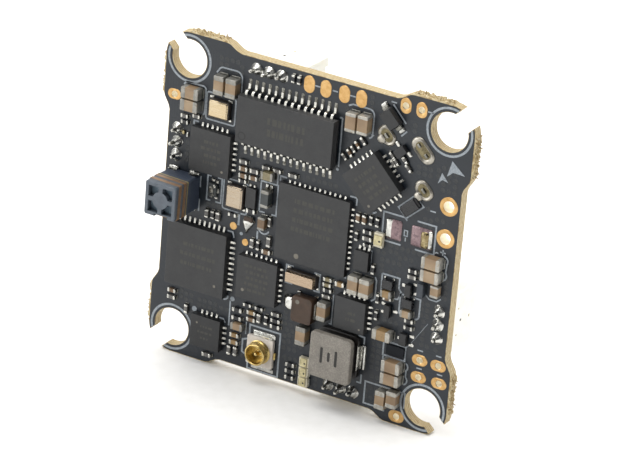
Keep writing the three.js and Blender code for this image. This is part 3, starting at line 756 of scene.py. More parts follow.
def build_board():
    P = Piece("printed_board")
    outer = board_outline()
    rim = []
    for i in range(len(outer)):
        a, b = outer[i - 1], outer[(i + 1) % len(outer)]
        dx, dy = b[0] - a[0], b[1] - a[1]
        d = hypot(dx, dy) or 1.0
        rim.append((outer[i][0] - dy / d * 0.06, outer[i][1] + dx / d * 0.06))
    loops = [rim]
    holes = [arc(x, y, r, 0, 360, 24)[:-1] for x, y, r in ROUND] + [slot_loop(*s) for s in SLOTS]
    pts, edges = [], []
    for lp in loops + holes:
        k = len(pts)
        pts += [Vector(p) for p in lp]
        edges += [(k + i, k + (i + 1) % len(lp)) for i in range(len(lp))]
    vo, _, tris, *_ = delaunay_2d_cdt(pts, edges, [], 1, 1e-7)
    keep = []
    for t in tris:
        cx, cy = sum(vo[i].x for i in t) / len(t), sum(vo[i].y for i in t) / len(t)
        if inside(loops[0], cx, cy) and not any(inside(h, cx, cy) for h in holes):
            a, b, c = (vo[i] for i in t[:3])
            flip = (b - a).cross(c - a) < 0 if hasattr(Vector((0, 0)), "cross") else False
            keep.append(tuple(reversed(t)) if flip else tuple(t))
    P.add([(v.x, v.y, 0.0) for v in vo], keep, "mask", False)
    P.add([(v.x, v.y, -BOARD_T) for v in vo], [f[::-1] for f in keep], "mask", False)

    # side walls: bare laminate lips top and bottom, where the varnish stops short of the edge, and bare laminate
    # between them, torn where the board was broken out of its panel
    rows = [0.0, -0.035, -0.2, -0.4, -0.6, -0.8, -0.965, -1.0]

    def wall(lp, torn, mats, rim_in):
        k = len(lp)
        verts = []
        for j, n in enumerate(rows):
            for i in range(k):
                x, y = lp[i][0], lp[i][1]
                a, b = lp[i - 1], lp[(i + 1) % k]
                dx, dy = b[0] - a[0], b[1] - a[1]
                d = hypot(dx, dy) or 1.0
                nx, ny = dy / d, -dx / d
                o = -0.06 if rim_in and j in (0, len(rows) - 1) else 0.0
                if torn[i]:
                    q = math.sin(pi * min(1.0, max(0.0, (j) / (len(rows) - 1))))
                    o = RNG.uniform(-0.05, 0.3) * (0.35 + 0.65 * q) if 0 < j < len(rows) - 1 else o
                elif 1 < j < len(rows) - 2:
                    o = RNG.uniform(-0.012, 0.006)
                verts.append((x + nx * o, y + ny * o, n))
        for j in range(len(rows) - 1):
            m = mats[0] if j in (0, len(rows) - 2) else mats[1]
            faces = []
            for i in range(k):
                a, b = j * k + i, j * k + (i + 1) % k
                faces.append((a, a + k, b + k, b))
            P.add(verts, faces, m, not any(torn))

    wall([(x, y) for x, y, _ in outer], [t for _, _, t in outer], ("edge", "edge"), True)
    for i, h in enumerate(holes):
        # the round holes get near-white walls: painted light for the bright floor seen through them
        m = "bore_painted_glow" if i < len(ROUND) else "fluxed"
        wall(h[::-1], [0] * len(h), (m, m), False)

    # loose glass fibres and crumbs of laminate along the torn edges
    k = len(outer)
    for i in range(k):
        x, y, torn = outer[i]
        if not torn:
            continue
        a, b = outer[i - 1], outer[(i + 1) % k]
        dx, dy = b[0] - a[0], b[1] - a[1]
        d = hypot(dx, dy) or 1.0
        nx, ny = dy / d, -dx / d
        for _ in range(3):
            if RNG.random() < 0.35:
                continue
            t = RNG.uniform(-0.08, 0.08)
            n = RNG.uniform(-0.92, -0.1)
            ln = RNG.uniform(0.08, 0.42)
            w = RNG.uniform(0.035, 0.11)
            px, py = x + dx / d * t - nx * 0.05, y + dy / d * t - ny * 0.05
            lean = RNG.uniform(-0.35, 0.35)
            tip = (px + nx * ln + dx / d * lean * ln, py + ny * ln + dy / d * lean * ln, n + RNG.uniform(-0.12, 0.12))
            vs = []
            for q in range(4):
                ang = pi / 4 + pi / 2 * q
                vs.append((px + dx / d * w * cos(ang), py + dy / d * w * cos(ang), n + w * sin(ang)))
            vs += [(tip[0] + dx / d * w * 0.4 * cos(pi / 4 + pi / 2 * q), tip[1] + dy / d * w * 0.4 * cos(pi / 4 + pi / 2 * q), tip[2] + w * 0.4 * sin(pi / 4 + pi / 2 * q)) for q in range(4)]
            P.add(vs, [(0, 4, 5, 1), (1, 5, 6, 2), (2, 6, 7, 3), (3, 7, 4, 0), (4, 7, 6, 5), (0, 1, 2, 3)], "edge", False)
    return P.done(replaces=("circuit_board",), angle=50)


build_board()

# ------------------------------------------------------------------ chips on the component face
flatchip("processor", "main_processor", 0.84, 0.68, 7.0, 7.0, 0.55, 12, 0.5, 0.24, 0, (-1.3, -2.85, 0.24), padw=0.2)
flatchip("radio_chip", "receiver_radio_chip", -9.7, 5.0, 4.0, 4.0, 0.75, 6, 0.5, 0.34, 0, (1.35, -1.45, 0.12))
flatchip("video_chip", "video_transmitter_chip", -10.32, -5.22, 6.0, 6.0, 0.85, 10, 0.5, 0.5, 0, (2.1, -2.0, 0.13))
flatchip("controller_chip", "receiver_controller_chip", -4.12, -5.57, 4.0, 4.0, 0.72, 7, 0.5, 0.26, 0, (-1.3, -1.15, 0.15))
flatchip("amplifier_chip", "rf_amplifier_chip", -8.92, -12.0, 3.0, 3.0, 0.72, 4, 0.5, 0.34, 0, (-0.85, 0.8, 0.1), "ic2")
flatchip("motion_chip", "motion_sensor_chip", 6.3, 6.6, 4.0, 4.0, 0.9, 6, 0.5, 0.4, 45, (-1.45, -1.45, 0.13))
flatchip("motor_chip", "motor_controller_chip", 5.31, -6.0, 3.0, 3.0, 0.75, 5, 0.5, 0.36, 0, (1.05, -1.05, 0.09))
flatchip("regulator_chip", "voltage_regulator_chip", 5.85, -0.78, 1.4, 1.8, 0.58, [0, 3, 0, 3], 0.45, 0.3, 0, None, "ic2", "NS", 0.24)


def build_osd():
    P = Piece("display_chip")
    x, y = -2.32, 9.03
    sec = [(rr(9.7, 4.4, 0.06, 2, -0.12), 0.12), (rr(9.7, 4.4, 0.06, 2, -0.02), 0.56), (rr(9.7, 4.4, 0.06, 2, 0.0), 0.6), (rr(9.7, 4.4, 0.06, 2, -0.02), 0.64)]
    for a in (0, 30, 60, 90):
        sec.append((rr(9.7, 4.4, 0.08, 2, -0.1 - 0.05 * (1 - cos(radians(a)))), 1.07 + 0.05 * sin(radians(a))))
    loft(P, "ic", sec, x, y)
    dashes(P, x + 0.05, y + 0.05, 1.12, 0, 2, 1.05, 0.62, 3.9, 5, 0.2)
    # pin-one dimple drawn as flat rings; the darker rings are painted shade at the dimple's rim
    lathe(P, "ic2", x - 4.1, y - 1.45, [(0.42, 1.115), (0.42, 1.124), (0.38, 1.127), (0.36, 1.1215)], 28)
    lathe(P, "hole", x - 4.1, y - 1.45, [(0.36, 1.121), (0.34, 1.1222), (0.3, 1.1222)], 28)
    lathe(P, "ic", x - 4.1, y - 1.45, [(0.3, 1.1222), (0, 1.1222)], 28)
    path = [(-0.12, 0.6), (0.1, 0.6), (0.2, 0.585), (0.27, 0.53), (0.32, 0.42), (0.37, 0.2), (0.42, 0.1), (0.5, 0.06), (0.62, 0.055), (0.86, 0.055)]
    th = 0.13
    for side, sy in ((1, 1), (-1, -1)):
        for i in range(14):
            px = x + (i - 6.5) * 0.65
            prof_t, prof_b = [], []
            for k, (u, n) in enumerate(path):
                a = path[max(0, k - 1)]
                b = path[min(len(path) - 1, k + 1)]
                dx, dn = b[0] - a[0], b[1] - a[1]
                d = hypot(dx, dn)
                prof_t.append((u + -dn / d * -th / 2 * -1, n + dx / d * th / 2))
                prof_b.append((u - -dn / d * -th / 2 * -1, n - dx / d * th / 2))
            prof = prof_b + prof_t[::-1]
            extrude_uv(P, "tin", prof, 0.11, px, y + sy * 2.2, 90 * sy)
            puddle(P, px, y + sy * (2.2 + 0.84), 0.24, 0.6, 0.09, 0, 0.1, "dull", i)
            brick(P, "dull", px, y + sy * (2.2 + 0.9), 0.3, 0.74, 0.0, 0.035, 0, 0.08, 0.02)
    take(x, y, 9.9, 6.9)
    return P.done(replaces=("osd_chip",))


build_osd()


def build_diode():
    P = Piece("supply_diode_terminals")
    # bent tin tabs at both ends of the diagonal body
    for q in (-1, 1):
        c, s = cos(radians(-45)), sin(radians(-45))
        ex, ey = 7.4 + q * 0.9 * c, 12.65 + q * 0.9 * s
        brick(P, "dull", ex + q * 0.1 * c, ey + q * 0.1 * s, 0.34, 0.66, 0.02, 0.26, -45, 0.08, 0.06)
        fillet(P, ex + q * 0.24 * c, ey + q * 0.24 * s, -45 + (0 if q > 0 else 180), 0.26, 0.2, 0.3)
        puddle(P, ex + q * 0.42 * c, ey + q * 0.42 * s, 0.4, 0.7, 0.12, -45, 0.18, "solder", 3 + q)
    take(7.4, 12.65, 2.8, 1.6, -45)
    return P.done()


build_diode()


# ------------------------------------------------------------------ capacitors that have a node of their own
CAPS = [
    (-9.22, 11.39, 1.75, 1.0, 0.93, 90), (-8.01, 11.39, 1.75, 1.05, 0.93, 90), (-12.04, 9.91, 1.75, 1.02, 0.93, 0), (-12.04, 8.77, 1.75, 1.05, 0.93, 0),
    (3.83, 11.46, 1.7, 1.02, 0.93, 90), (4.98, 11.5, 1.7, 1.02, 0.93, 90), (5.39, -3.11, 1.7, 1.0, 0.93, 90), (6.52, -3.11, 1.7, 1.0, 0.93, 90),
    (9.75, -9.56, 1.78, 1.05, 0.93, 0), (9.75, -10.74, 1.78, 1.05, 0.93, 0), (9.0, -12.93, 1.7, 0.95, 0.9, 90), (10.07, -12.6, 1.55, 0.98, 0.85, 90),
    (2.6, -6.45, 1.75, 0.92, 0.93, 90), (0.76, -9.32, 1.75, 1.0, 0.93, 90), (8.55, -6.92, 1.75, 0.94, 0.9, 0), (12.6, 0.97, 1.75, 1.05, 0.93, 0),
    (12.6, -0.22, 1.75, 1.05, 0.93, 0), (13.05, -1.57, 1.1, 0.78, 0.62, 90),
]
for i, (x, y, l, w, h, t) in enumerate(CAPS):
    P = Piece("chip_capacitor_%02d" % (i + 1))
    chipcap(P, x, y, l, w, h, t, "mlcc" if i != 14 else "mlcc_gold", 0.18 if i in (4, 5) else 0.22 if i in (8, 9, 15, 16, 17) else 0.27, "capend2" if x > 3 else "capend", 0.03, 0.08, 0.26)
    P.done(replaces=("ceramic_capacitor_%02d" % (i + 1),))


# ------------------------------------------------------------------ oscillators, resonator, bead and inductors
def can(name, nodes, x, y, w, h, base, lw, lh, top, lid):
    P = Piece(name)
    # brown ceramic tray with notched corners, then a seam-welded lid with a low rolled rim
    sec = [(rr(w, h, 0.12, 3), 0.03), (rr(w, h, 0.12, 3), base - 0.05), (rr(w, h, 0.12, 3, -0.02), base - 0.01), (rr(w, h, 0.12, 3, -0.05), base)]
    loft(P, "ceramic", sec, x, y)
    sec = [(rr(lw, lh, 0.14, 4, 0.0), base - 0.005), (rr(lw, lh, 0.14, 4, 0.02), base + 0.03), (rr(lw, lh, 0.14, 4, -0.03), base + (top - base) * 0.55)]
    for a in (0, 30, 60, 90):
        sec.append((rr(lw, lh, 0.14, 4, -0.06 - 0.05 * (1 - cos(radians(a)))), top - 0.05 + 0.05 * sin(radians(a))))
    loft(P, lid, sec, x, y)
    for sx in (-1, 1):
        for sy in (-1, 1):
            brick(P, "tin", x + sx * (w / 2 - 0.12), y + sy * (h / 2 + 0.02), 0.42, 0.24, 0.0, 0.1, 0, 0.05, 0.04)
    take(x, y, w + 0.3, h + 0.3)
    return P.done(replaces=nodes)


can("receiver_clock", ("receiver_oscillator_base", "receiver_oscillator_lid"), -9.28, 9.03, 2.1, 1.7, 0.46, 1.86, 1.48, 0.62, "lid")
can("transmitter_clock", ("transmitter_oscillator_base", "transmitter_oscillator_lid"), -7.07, 1.47, 1.75, 2.15, 0.46, 1.56, 1.94, 0.62, "lidp")
can("processor_clock", ("processor_resonator_base", "processor_resonator_lid"), 0.15, -4.21, 3.05, 1.2, 0.5, 2.88, 1.04, 0.85, "lid2")

P = Piece("line_bead")
chipcap(P, -3.9, 2.25, 1.6, 0.8, 0.82, 90, "bead", 0.2, "capend", 0.03, 0.14, 0.35)
puddle(P, -4.1, 3.3, 0.34, 0.42, 0.16, 0, 0.1, "solder", 2)
puddle(P, -3.65, 3.3, 0.34, 0.42, 0.16, 0, 0.1, "solder", 3)
P.done(replaces=("ferrite_bead",))


def build_power_inductor():
    P = Piece("power_coil")
    x, y = 4.36, -9.96
    # foot plate
    sec = [(rr(4.0, 4.1, 0.5, 4), 0.05), (rr(4.0, 4.1, 0.5, 4), 0.46), (rr(4.0, 4.1, 0.5, 4, -0.05), 0.5)]
    loft(P, "drum", sec, x, y)
    # resin-filled winding window, slightly bulged, with the turns showing through
    sec = []
    for i in range(9):
        n = 0.5 + 0.82 * i / 8
        sec.append((rr(3.56, 3.66, 0.9, 5, 0.04 * sin(pi * i / 8) + (0.035 if i % 2 else 0.0)), n))
    loft(P, "drum", sec, x, y)
    # head plate with a chamfered rim
    sec = [(rr(4.05, 4.2, 0.35, 5, -0.1), 1.3), (rr(4.05, 4.2, 0.35, 5), 1.36), (rr(4.05, 4.2, 0.35, 5), 1.76)]
    for a in (15, 35, 55, 75, 90):
        sec.append((rr(4.05, 4.2, 0.35, 5, -0.1 * (1 - cos(radians(a)))), 1.8 + 0.1 * sin(radians(a))))
    loft(P, "ferrite", sec, x, y)
    for q in (-1, 0, 1):
        o = [(a + x - 0.1 + q * 0.72, b + y + 0.1) for a, b in rr(0.26, 1.5 if q else 0.9, 0.12, 3)]
        plate(P, "drum", o, 1.898, 1.9035)
    # wrapped terminals on the right and left feet, and their solder
    for q in (-1, 1):
        brick(P, "tin", x + q * 1.98, y + 0.1, 0.14, 2.3, 0.03, 0.6, 0, 0.05, 0.05)
        fillet(P, x + q * 2.04, y + 0.1, 0 if q > 0 else 180, 0.34, 0.42, 1.1)
    puddle(P, x + 2.3, y + 0.12, 0.5, 2.35, 0.16, 0, 0.14, "solder", 5)
    take(x, y, 5.0, 4.4)
    return P.done(replaces=("power_inductor",))


build_power_inductor()


def build_filter_inductor():
    P = Piece("filter_coil")
    x, y = 0.72, -6.83
    sec = [(rr(2.05, 2.4, 0.3, 4, -0.04), 0.03), (rr(2.05, 2.4, 0.3, 4), 0.12), (rr(2.05, 2.4, 0.3, 4), 0.92)]
    for a in (20, 45, 70, 90):
        sec.append((rr(2.05, 2.4, 0.3, 4, -0.09 * (1 - cos(radians(a)))), 0.93 + 0.09 * sin(radians(a))))
    loft(P, "brown", sec, x, y)
    lathe(P, "mark", x - 0.42, y + 0.72, [(0.2, 1.01), (0.2, 1.024), (0.17, 1.028), (0, 1.026)], 20)
    # left terminal: a bright rounded solder bank that climbs the side
    sec = []
    for i in range(9):
        t = i / 8
        g = cos(t * pi / 2 * 0.86)
        sec.append((rr(1.35 * g, 1.45 * (0.4 + 0.6 * g), 0.72, 7), 0.62 * sin(t * pi / 2)))
    loft(P, "solder", [([(px + 0.34 * (k / 8) ** 1.3, py) for px, py in s[0]], s[1]) for k, s in enumerate(sec)], x - 1.62, y + 0.12)
    brick(P, "tin", x + 1.05, y, 0.12, 1.5, 0.03, 0.5, 0, 0.04, 0.04)
    fillet(P, x + 1.1, y, 0, 0.25, 0.4, 0.75)
    take(x, y, 3.2, 2.6)
    return P.done(replaces=("filter_inductor",))


build_filter_inductor()


# ------------------------------------------------------------------ tower antenna: stripes and solder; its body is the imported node
def build_antenna_trim():
    P = Piece("antenna_bands")
    x, y, w = -12.4, 0.78, 3.15
    for n0, n1, lift, m in ((3.08, 3.5, 0.014, "copper"), (2.3, 2.72, 0.014, "copper"), (2.02, 2.14, 0.01, "copper2")):
        outer = rr(w, w, 0.06, 2, lift)
        inner = rr(w, w, 0.06, 2, -0.03)
        k = len(outer)
        vs = [(a, b, n0) for a, b in outer] + [(a, b, n1) for a, b in outer] + [(a, b, n0) for a, b in inner] + [(a, b, n1) for a, b in inner]
        faces = []
        for i in range(k):
            j = (i + 1) % k
            faces += [(i, j, k + j, k + i), (k + i, k + j, 3 * k + j, 3 * k + i), (2 * k + i, 2 * k + j, j, i)]
        # the bands lean slightly from one side to the other
        vs = [(a, b, n + 0.045 * (a - b)) for a, b, n in vs]
        P.add(turned(vs, x, y), faces, m, True)
    # pocket floor in a lighter copy of the slate: painted light lifting the shade in the pockets
    brick(P, "antenna_pocket_painted_light", x, y, w - 0.74, w - 0.74, 3.16, 3.46, 0, 0.05, 0.02)
    # solder along the foot
    for fx, fy, l in ((-13.55, 2.42, 1.0), (-11.45, 2.42, 1.0)):
        puddle(P, fx, fy, l, 0.42, 0.2, 0, 0.14, "solder", 1)
        fillet(P, fx, fy - 0.04, 90, 0.22, 0.42, l * 0.42)
    for fx in (-13.3, -11.5):
        puddle(P, fx, -0.95, 0.8, 0.36, 0.14, 0, 0.12, "solder", 4)
    take(x, y, 3.6, 3.9)
    return P.done()


build_antenna_trim()


# ------------------------------------------------------------------ coaxial antenna socket
def build_socket():
    x, y = -3.44, -12.3
    P = Piece("socket_body")
    sec = [(rr(2.65, 2.75, 0.16, 3), 0.03), (rr(2.65, 2.75, 0.16, 3), 0.3)]
    for a in (30, 60, 90):
        sec.append((rr(2.65, 2.75, 0.16, 3, -0.05 * (1 - cos(radians(a)))), 0.31 + 0.05 * sin(radians(a))))
    loft(P, "base", sec, x, y)
    # ground tabs with their solder, above and below, and the signal tab on the right
    puddle(P, x + 0.22, y + 1.62, 2.3, 0.5, 0.12, 0, 0.1, "solder", 1)
    brick(P, "tin", x + 0.2, y + 1.42, 1.9, 0.3, 0.05, 0.24, 0, 0.05, 0.04)
    puddle(P, x + 0.22, y - 1.65, 2.3, 0.44, 0.12, 0, 0.1, "solder", 2)
    brick(P, "tin", x + 0.2, y - 1.42, 1.9, 0.26, 0.05, 0.24, 0, 0.05, 0.04)
    brick(P, "gold", x + 1.42, y - 0.1, 0.2, 0.62, 0.02, 0.2, 0, 0.04, 0.03)
    take(x, y, 3.4, 4.2)
    P.done(replaces=("antenna_socket_base",))
    P = Piece("socket_ring")
    prof = [(0.79, 0.38), (1.1, 0.38), (1.1, 0.43), (1.03, 0.47), (0.985, 0.55), (0.93, 0.66), (0.905, 0.74), (0.905, 0.84), (0.93, 0.93), (0.985, 1.02), (1.01, 1.1), (1.005, 1.18), (0.97, 1.235), (0.91, 1.258), (0.86, 1.245), (0.83, 1.2), (0.815, 1.1), (0.8, 0.6), (0.79, 0.42)]
    lathe(P, "gold", x, y, prof, 64)
    lathe(P, "gold", x, y, [(0.8, 0.4), (0.8, 0.415), (0.45, 0.42), (0.44, 0.4)], 48)
    P.done(replaces=("antenna_socket_shell",))
    P = Piece("socket_contact")
    lathe(P, "gold", x, y, [(0.46, 0.37), (0.46, 0.415), (0.42, 0.43), (0.3, 0.43), (0.27, 0.42)], 36)
    lathe(P, "gold", x, y, [(0.28, 0.38), (0.28, 0.52), (0.24, 0.55), (0.18, 0.58), (0.165, 0.62), (0.165, 0.96), (0.15, 1.02), (0.11, 1.065), (0.05, 1.08), (0, 1.082)], 32)
    P.done(replaces=("antenna_socket_pin",))


build_socket()


# ------------------------------------------------------------------ status lights
def led(name, node, x, y, w, h, top, along="x"):
    P = Piece(name)
    L = w if along == "x" else h
    # terminals at both ends, a white case and a phosphor window standing in it
    for q in (-1, 1):
        if along == "x":
            brick(P, "tin", x + q * (w / 2 - 0.02), y, 0.22, h * 0.82, 0.02, 0.2, 0, 0.03, 0.03)
        else:
            brick(P, "tin", x, y + q * (h / 2 - 0.02), w * 0.82, 0.22, 0.02, 0.2, 0, 0.03, 0.03)
    brick(P, "ledcase", x, y, w, h, 0.03, top - 0.12, 0, 0.05, 0.03)
    iw, ih = (w * 0.68, h * 0.94) if along == "x" else (w * 0.94, h * 0.68)
    brick(P, "led", x, y, iw, ih, 0.1, top, 0, 0.06, 0.06, 3)
    brick(P, "ceramic", x + iw * 0.2, y - ih * 0.06, iw * 0.24, ih * 0.2, top - 0.01, top + 0.008, 20, 0.03, 0.01)
    # thin dark strip at the window's side: painted shade standing for the gap between case and window
    brick(P, "brown", x - iw * 0.5, y, 0.05, ih * 0.7, top - 0.1, top - 0.02, 0, 0.02, 0.01)
    take(x, y, w + 0.3, h + 0.1)
    P.done(replaces=(node,))


led("lamp_1", "status_led_1", 1.1, -11.9, 0.95, 0.86, 0.52)
led("lamp_2", "status_led_2", 1.1, -12.86, 0.95, 0.86, 0.52)
led("lamp_3", "status_led_3", 1.1, -13.79, 0.95, 0.86, 0.52)
led("lamp_4", "status_led_4", 7.22, 1.48, 0.86, 1.3, 0.46, "y")

# ------------------------------------------------------------------ small parts without nodes of their own, by area
SX, SY = 0.09, 0.08


def H(P, x, y, L=0.92, Wd=0.48, Ht=0.36, body="resist", end=None):
    chipcap(P, x + SX, y + SY, L, Wd, Ht, 0, body, 0.27, end or "tin", 0.02, 0.1, 0.7)


def V(P, x, y, L=0.92, Wd=0.46, Ht=0.36, body="resist", end=None):
    chipcap(P, x + SX, y + SY, L, Wd, Ht, 90, body, 0.27, end or "tin", 0.02, 0.1, 0.7)


def pair(P, a, b, Wd=0.32, Ht=0.3, body="mlcc_grey"):
    x, y = (a[0] + b[0]) / 2, (a[1] + b[1]) / 2
    d = hypot(b[0] - a[0], b[1] - a[1])
    chipcap(P, x + SX, y + SY, d + 0.26, Wd, Ht, math.degrees(atan2(b[1] - a[1], b[0] - a[0])), body, 0.3, "tin", 0.02, 0.08, 0.7)


P = Piece("small_parts_upper_left")
V(P, -2.415, 13.54, 0.74, 0.34, 0.3)
V(P, -1.84, 13.54, 0.74, 0.34, 0.3)
H(P, -12.86, 7.4, 0.74, 0.38, 0.3, "mlcc_grey")
H(P, -12.8, 6.85, 0.74, 0.38, 0.3, "resist")
H(P, -11.67, 7.67, 0.74, 0.38, 0.3, "mlcc_grey")
puddle(P, -12.8, 5.9, 0.3, 0.4, 0.2, 0, 0.1, "fluxed", 1)
puddle(P, -12.4, 5.8, 0.26, 0.5, 0.16, 0, 0.08, "solder", 2)
H(P, -6.65, 4.78, 0.82, 0.4, 0.32, "mlcc_grey")
H(P, -6.6, 4.15, 0.86, 0.44, 0.34, "mlcc_brown")
H(P, -6.6, 3.5, 0.86, 0.44, 0.34, "mlcc_brown")
H(P, -6.6, 2.98, 0.8, 0.36, 0.3, "resist")
H(P, -5.5, 4.2, 0.86, 0.42, 0.34, "mlcc_grey")
H(P, -5.55, 3.55, 0.86, 0.42, 0.34, "mlcc_brown")
H(P, -4.35, 4.84, 0.8, 0.36, 0.32, "mlcc_grey")
H(P, -3.25, 4.84, 0.8, 0.36, 0.32, "mlcc_grey")
H(P, -1.7, 4.84, 0.86, 0.38, 0.32, "mlcc_grey")
chipcap(P, -3.9, 4.36, 1.2, 0.75, 0.75, 0, "mlcc_olive", 0.22, "capend", 0.03, 0.1, 0.4)
H(P, -5.55, 0.45, 0.9, 0.42, 0.34, "resist")
# small leadless chip between the clocks and the bead
brick(P, "ic", -5.55, 1.75, 1.0, 1.85, 0.03, 0.32, 0, 0.04, 0.03)
for px in (-5.75, -5.32):
    puddle(P, px, 2.86, 0.26, 0.3, 0.12, 0, 0.07, "tin", 1)
    puddle(P, px, 0.72, 0.26, 0.24, 0.1, 0, 0.07, "tin", 1)
take(-5.55, 1.75, 1.2, 2.4)
# low-pass filter part in its own printed frame
brick(P, "bead", -9.4, 1.45, 0.8, 1.2, 0.03, 0.36, 0, 0.05, 0.04)
puddle(P, -9.5, 1.5, 0.42, 0.62, 0.1, 12, 0.14, "dull", 2, 0.33)
puddle(P, -9.2, 1.86, 0.26, 0.3, 0.08, -20, 0.1, "tin", 2, 0.33)
puddle(P, -9.34, 1.06, 0.36, 0.26, 0.08, 25, 0.1, "dull", 2, 0.33)
for px, py, w, h in ((-9.5, 2.32, 0.34, 0.34), (-9.08, 2.24, 0.3, 0.32), (-8.95, 1.42, 0.22, 0.5), (-9.12, 0.74, 0.34, 0.26), (-9.62, 0.76, 0.3, 0.26)):
    puddle(P, px, py, w, h, 0.14, 0, 0.09, "tin", 3)
take(-9.4, 1.5, 1.7, 2.4)
V(P, -9.95, -0.98, 0.8, 0.38, 0.32, "mlcc_grey")
V(P, -9.35, -0.96, 0.74, 0.36, 0.32, "resist")
V(P, -8.8, -0.98, 0.84, 0.42, 0.34, "mlcc_grey")
H(P, -7.4, -0.42, 0.82, 0.36, 0.26, "resist")
V(P, -3.63, -0.05, 0.86, 0.32, 0.3, "mlcc_grey")
chipcap(P, -4.15, -0.17, 1.2, 0.72, 0.65, 90, "mlcc_brown", 0.2, "capend", 0.03, 0.1, 0.4)
V(P, -3.55, -1.9, 0.95, 0.42, 0.34, "mlcc_grey")
V(P, -5.2, -2.5, 0.86, 0.4, 0.32, "mlcc_grey")
V(P, -4.6, -2.55, 0.86, 0.32, 0.3, "resist")
H(P, -3.72, -2.9, 0.9, 0.44, 0.34, "mlcc_brown")
# solder bridge: a triangular mound with a dull bared patch above it
sec = []
tri = [(-6.32, -0.52), (-5.98, -0.02), (-5.35, 0.02), (-5.0, -0.5), (-5.5, -1.2), (-5.85, -1.78), (-6.1, -1.2)][::-1]
cx, cy = -5.68, -0.68
for t, n in ((1.0, 0.0), (0.98, 0.05), (0.88, 0.16), (0.7, 0.25), (0.45, 0.31), (0.2, 0.33)):
    sec.append(([(cx + (a - cx) * t, cy + (b - cy) * t) for a, b in tri], n))
sec = [(pts if sum(pts[i][0] * pts[(i + 1) % len(pts)][1] - pts[(i + 1) % len(pts)][0] * pts[i][1] for i in range(len(pts))) > 0 else pts[::-1], n) for pts, n in sec]
loft(P, "solder", sec)
puddle(P, -5.62, -0.3, 0.92, 0.5, 0.1, 0, 0.16, "brown", 7, 0.21)
take(cx, cy, 1.6, 2.1)
P.done()

P = Piece("small_parts_upper_right")
for a, b in (((4.58, 9.98), (4.93, 9.59)), ((4.08, 9.48), (4.39, 9.13)), ((3.74, 8.98), (4.0, 8.67)), ((3.39, 8.6), (3.74, 8.2)), ((2.93, 8.1), (3.24, 7.78)), ((9.05, 8.7), (9.43, 8.32)), ((8.7, 9.35), (9.0, 9.0))):
    pair(P, a, b, 0.3, 0.28, "mlcc_brown" if a[0] in (4.08, 3.39) else "mlcc_grey")
for a, b in (((7.45, 9.4), (7.8, 9.05)), ((7.85, 8.95), (8.2, 8.6)), ((7.6, 8.75), (7.95, 8.4))):
    pair(P, a, b, 0.3, 0.26, "mlcc_grey")
# three-lead device on the diagonal
brick(P, "ic2", 8.55, 9.94, 0.75, 1.15, 0.08, 0.5, -45, 0.05, 0.04)
for px, py, a in ((8.12, 10.42, 135), (9.22, 9.86, -45), (8.75, 9.26, -45)):
    brick(P, "tin", px, py, 0.42, 0.28, 0.02, 0.12, a, 0.04, 0.03)
    puddle(P, px + 0.12 * cos(radians(a)), py + 0.12 * sin(radians(a)), 0.42, 0.36, 0.1, a, 0.1, "solder", 2)
take(8.6, 9.9, 1.9, 1.9)
# black part in the tilted printed frame
brick(P, "resist", 9.88, 5.22, 1.55, 0.98, 0.03, 0.34, 45, 0.05, 0.05)
for q in (-1, 1):
    c = cos(radians(45)) * 0.86 * q
    brick(P, "hole", 9.88 + c, 5.22 + c, 0.24, 0.84, 0.02, 0.26, 45, 0.04, 0.03)
take(9.86, 5.2, 2.2, 2.2, 0)
V(P, 4.95, 2.8, 0.84, 0.4, 0.34, "mlcc_brown")
V(P, 5.55, 2.8, 0.84, 0.4, 0.34, "mlcc_brown")
V(P, 6.2, 2.9, 0.86, 0.34, 0.3, "resist")
V(P, 6.82, 2.88, 0.84, 0.34, 0.3, "resist")
V(P, 4.93, 1.1, 0.84, 0.34, 0.3, "resist")
H(P, 5.95, 1.76, 0.86, 0.38, 0.3, "resist")
H(P, 6.0, 1.15, 0.9, 0.4, 0.34, "mlcc_grey")
H(P, 6.05, 0.55, 0.8, 0.32, 0.3, "resist")
V(P, 6.8, -1.5, 0.86, 0.34, 0.3, "resist")
H(P, 10.6, -0.55, 0.84, 0.36, 0.3, "resist")
H(P, 10.58, -1.1, 0.84, 0.36, 0.3, "mlcc_grey")
# current-sense pads, tinned and domed
for px, pw, a, b in ((8.45, 1.5, "solder", "pink"), (11.15, 2.05, "pink", "fluxed")):
    py, ph = 2.72, 1.85
    puddle(P, px, py, pw, ph, 0.13, 0, 0.16, "pink", 1)
    if a == "solder":
        puddle(P, px - pw * 0.3, py + 0.05, pw * 0.42, ph * 0.94, 0.2, 0, 0.14, "solder", 5)
    else:
        puddle(P, px + pw * 0.16, py - 0.1, pw * 0.42, ph * 0.86, 0.24, 0, 0.3, "fluxed", 6)
        puddle(P, px + pw * 0.4, py, pw * 0.2, ph * 0.9, 0.16, 0, 0.12, "solder", 6)
    take(px, py, pw, ph)
P.done()

P = Piece("small_parts_lower_right")
H(P, 2.55, -3.67, 0.86, 0.36, 0.32, "mlcc_olive")
H(P, 2.52, -4.2, 0.86, 0.36, 0.32, "mlcc_olive")
H(P, 2.6, -4.7, 0.86, 0.36, 0.3, "resist")
H(P, 2.53, -5.28, 0.84, 0.34, 0.3, "mlcc_grey")
H(P, 3.78, -3.75, 0.92, 0.46, 0.38, "mlcc_gold")
puddle(P, -0.1, -5.55, 0.4, 0.2, 0.12, 0, 0.07, "solder", 1)
puddle(P, 1.65, -5.6, 0.4, 0.2, 0.12, 0, 0.07, "solder", 1)
H(P, 10.68, -5.17, 0.86, 0.38, 0.3, "resist")
H(P, 10.68, -5.82, 0.86, 0.38, 0.3, "resist")
H(P, 8.42, -3.74, 0.84, 0.34, 0.3, "mlcc_brown")
V(P, 7.5, -4.0, 0.86, 0.34, 0.3, "resist")
V(P, 7.5, -5.58, 0.86, 0.34, 0.3, "resist")


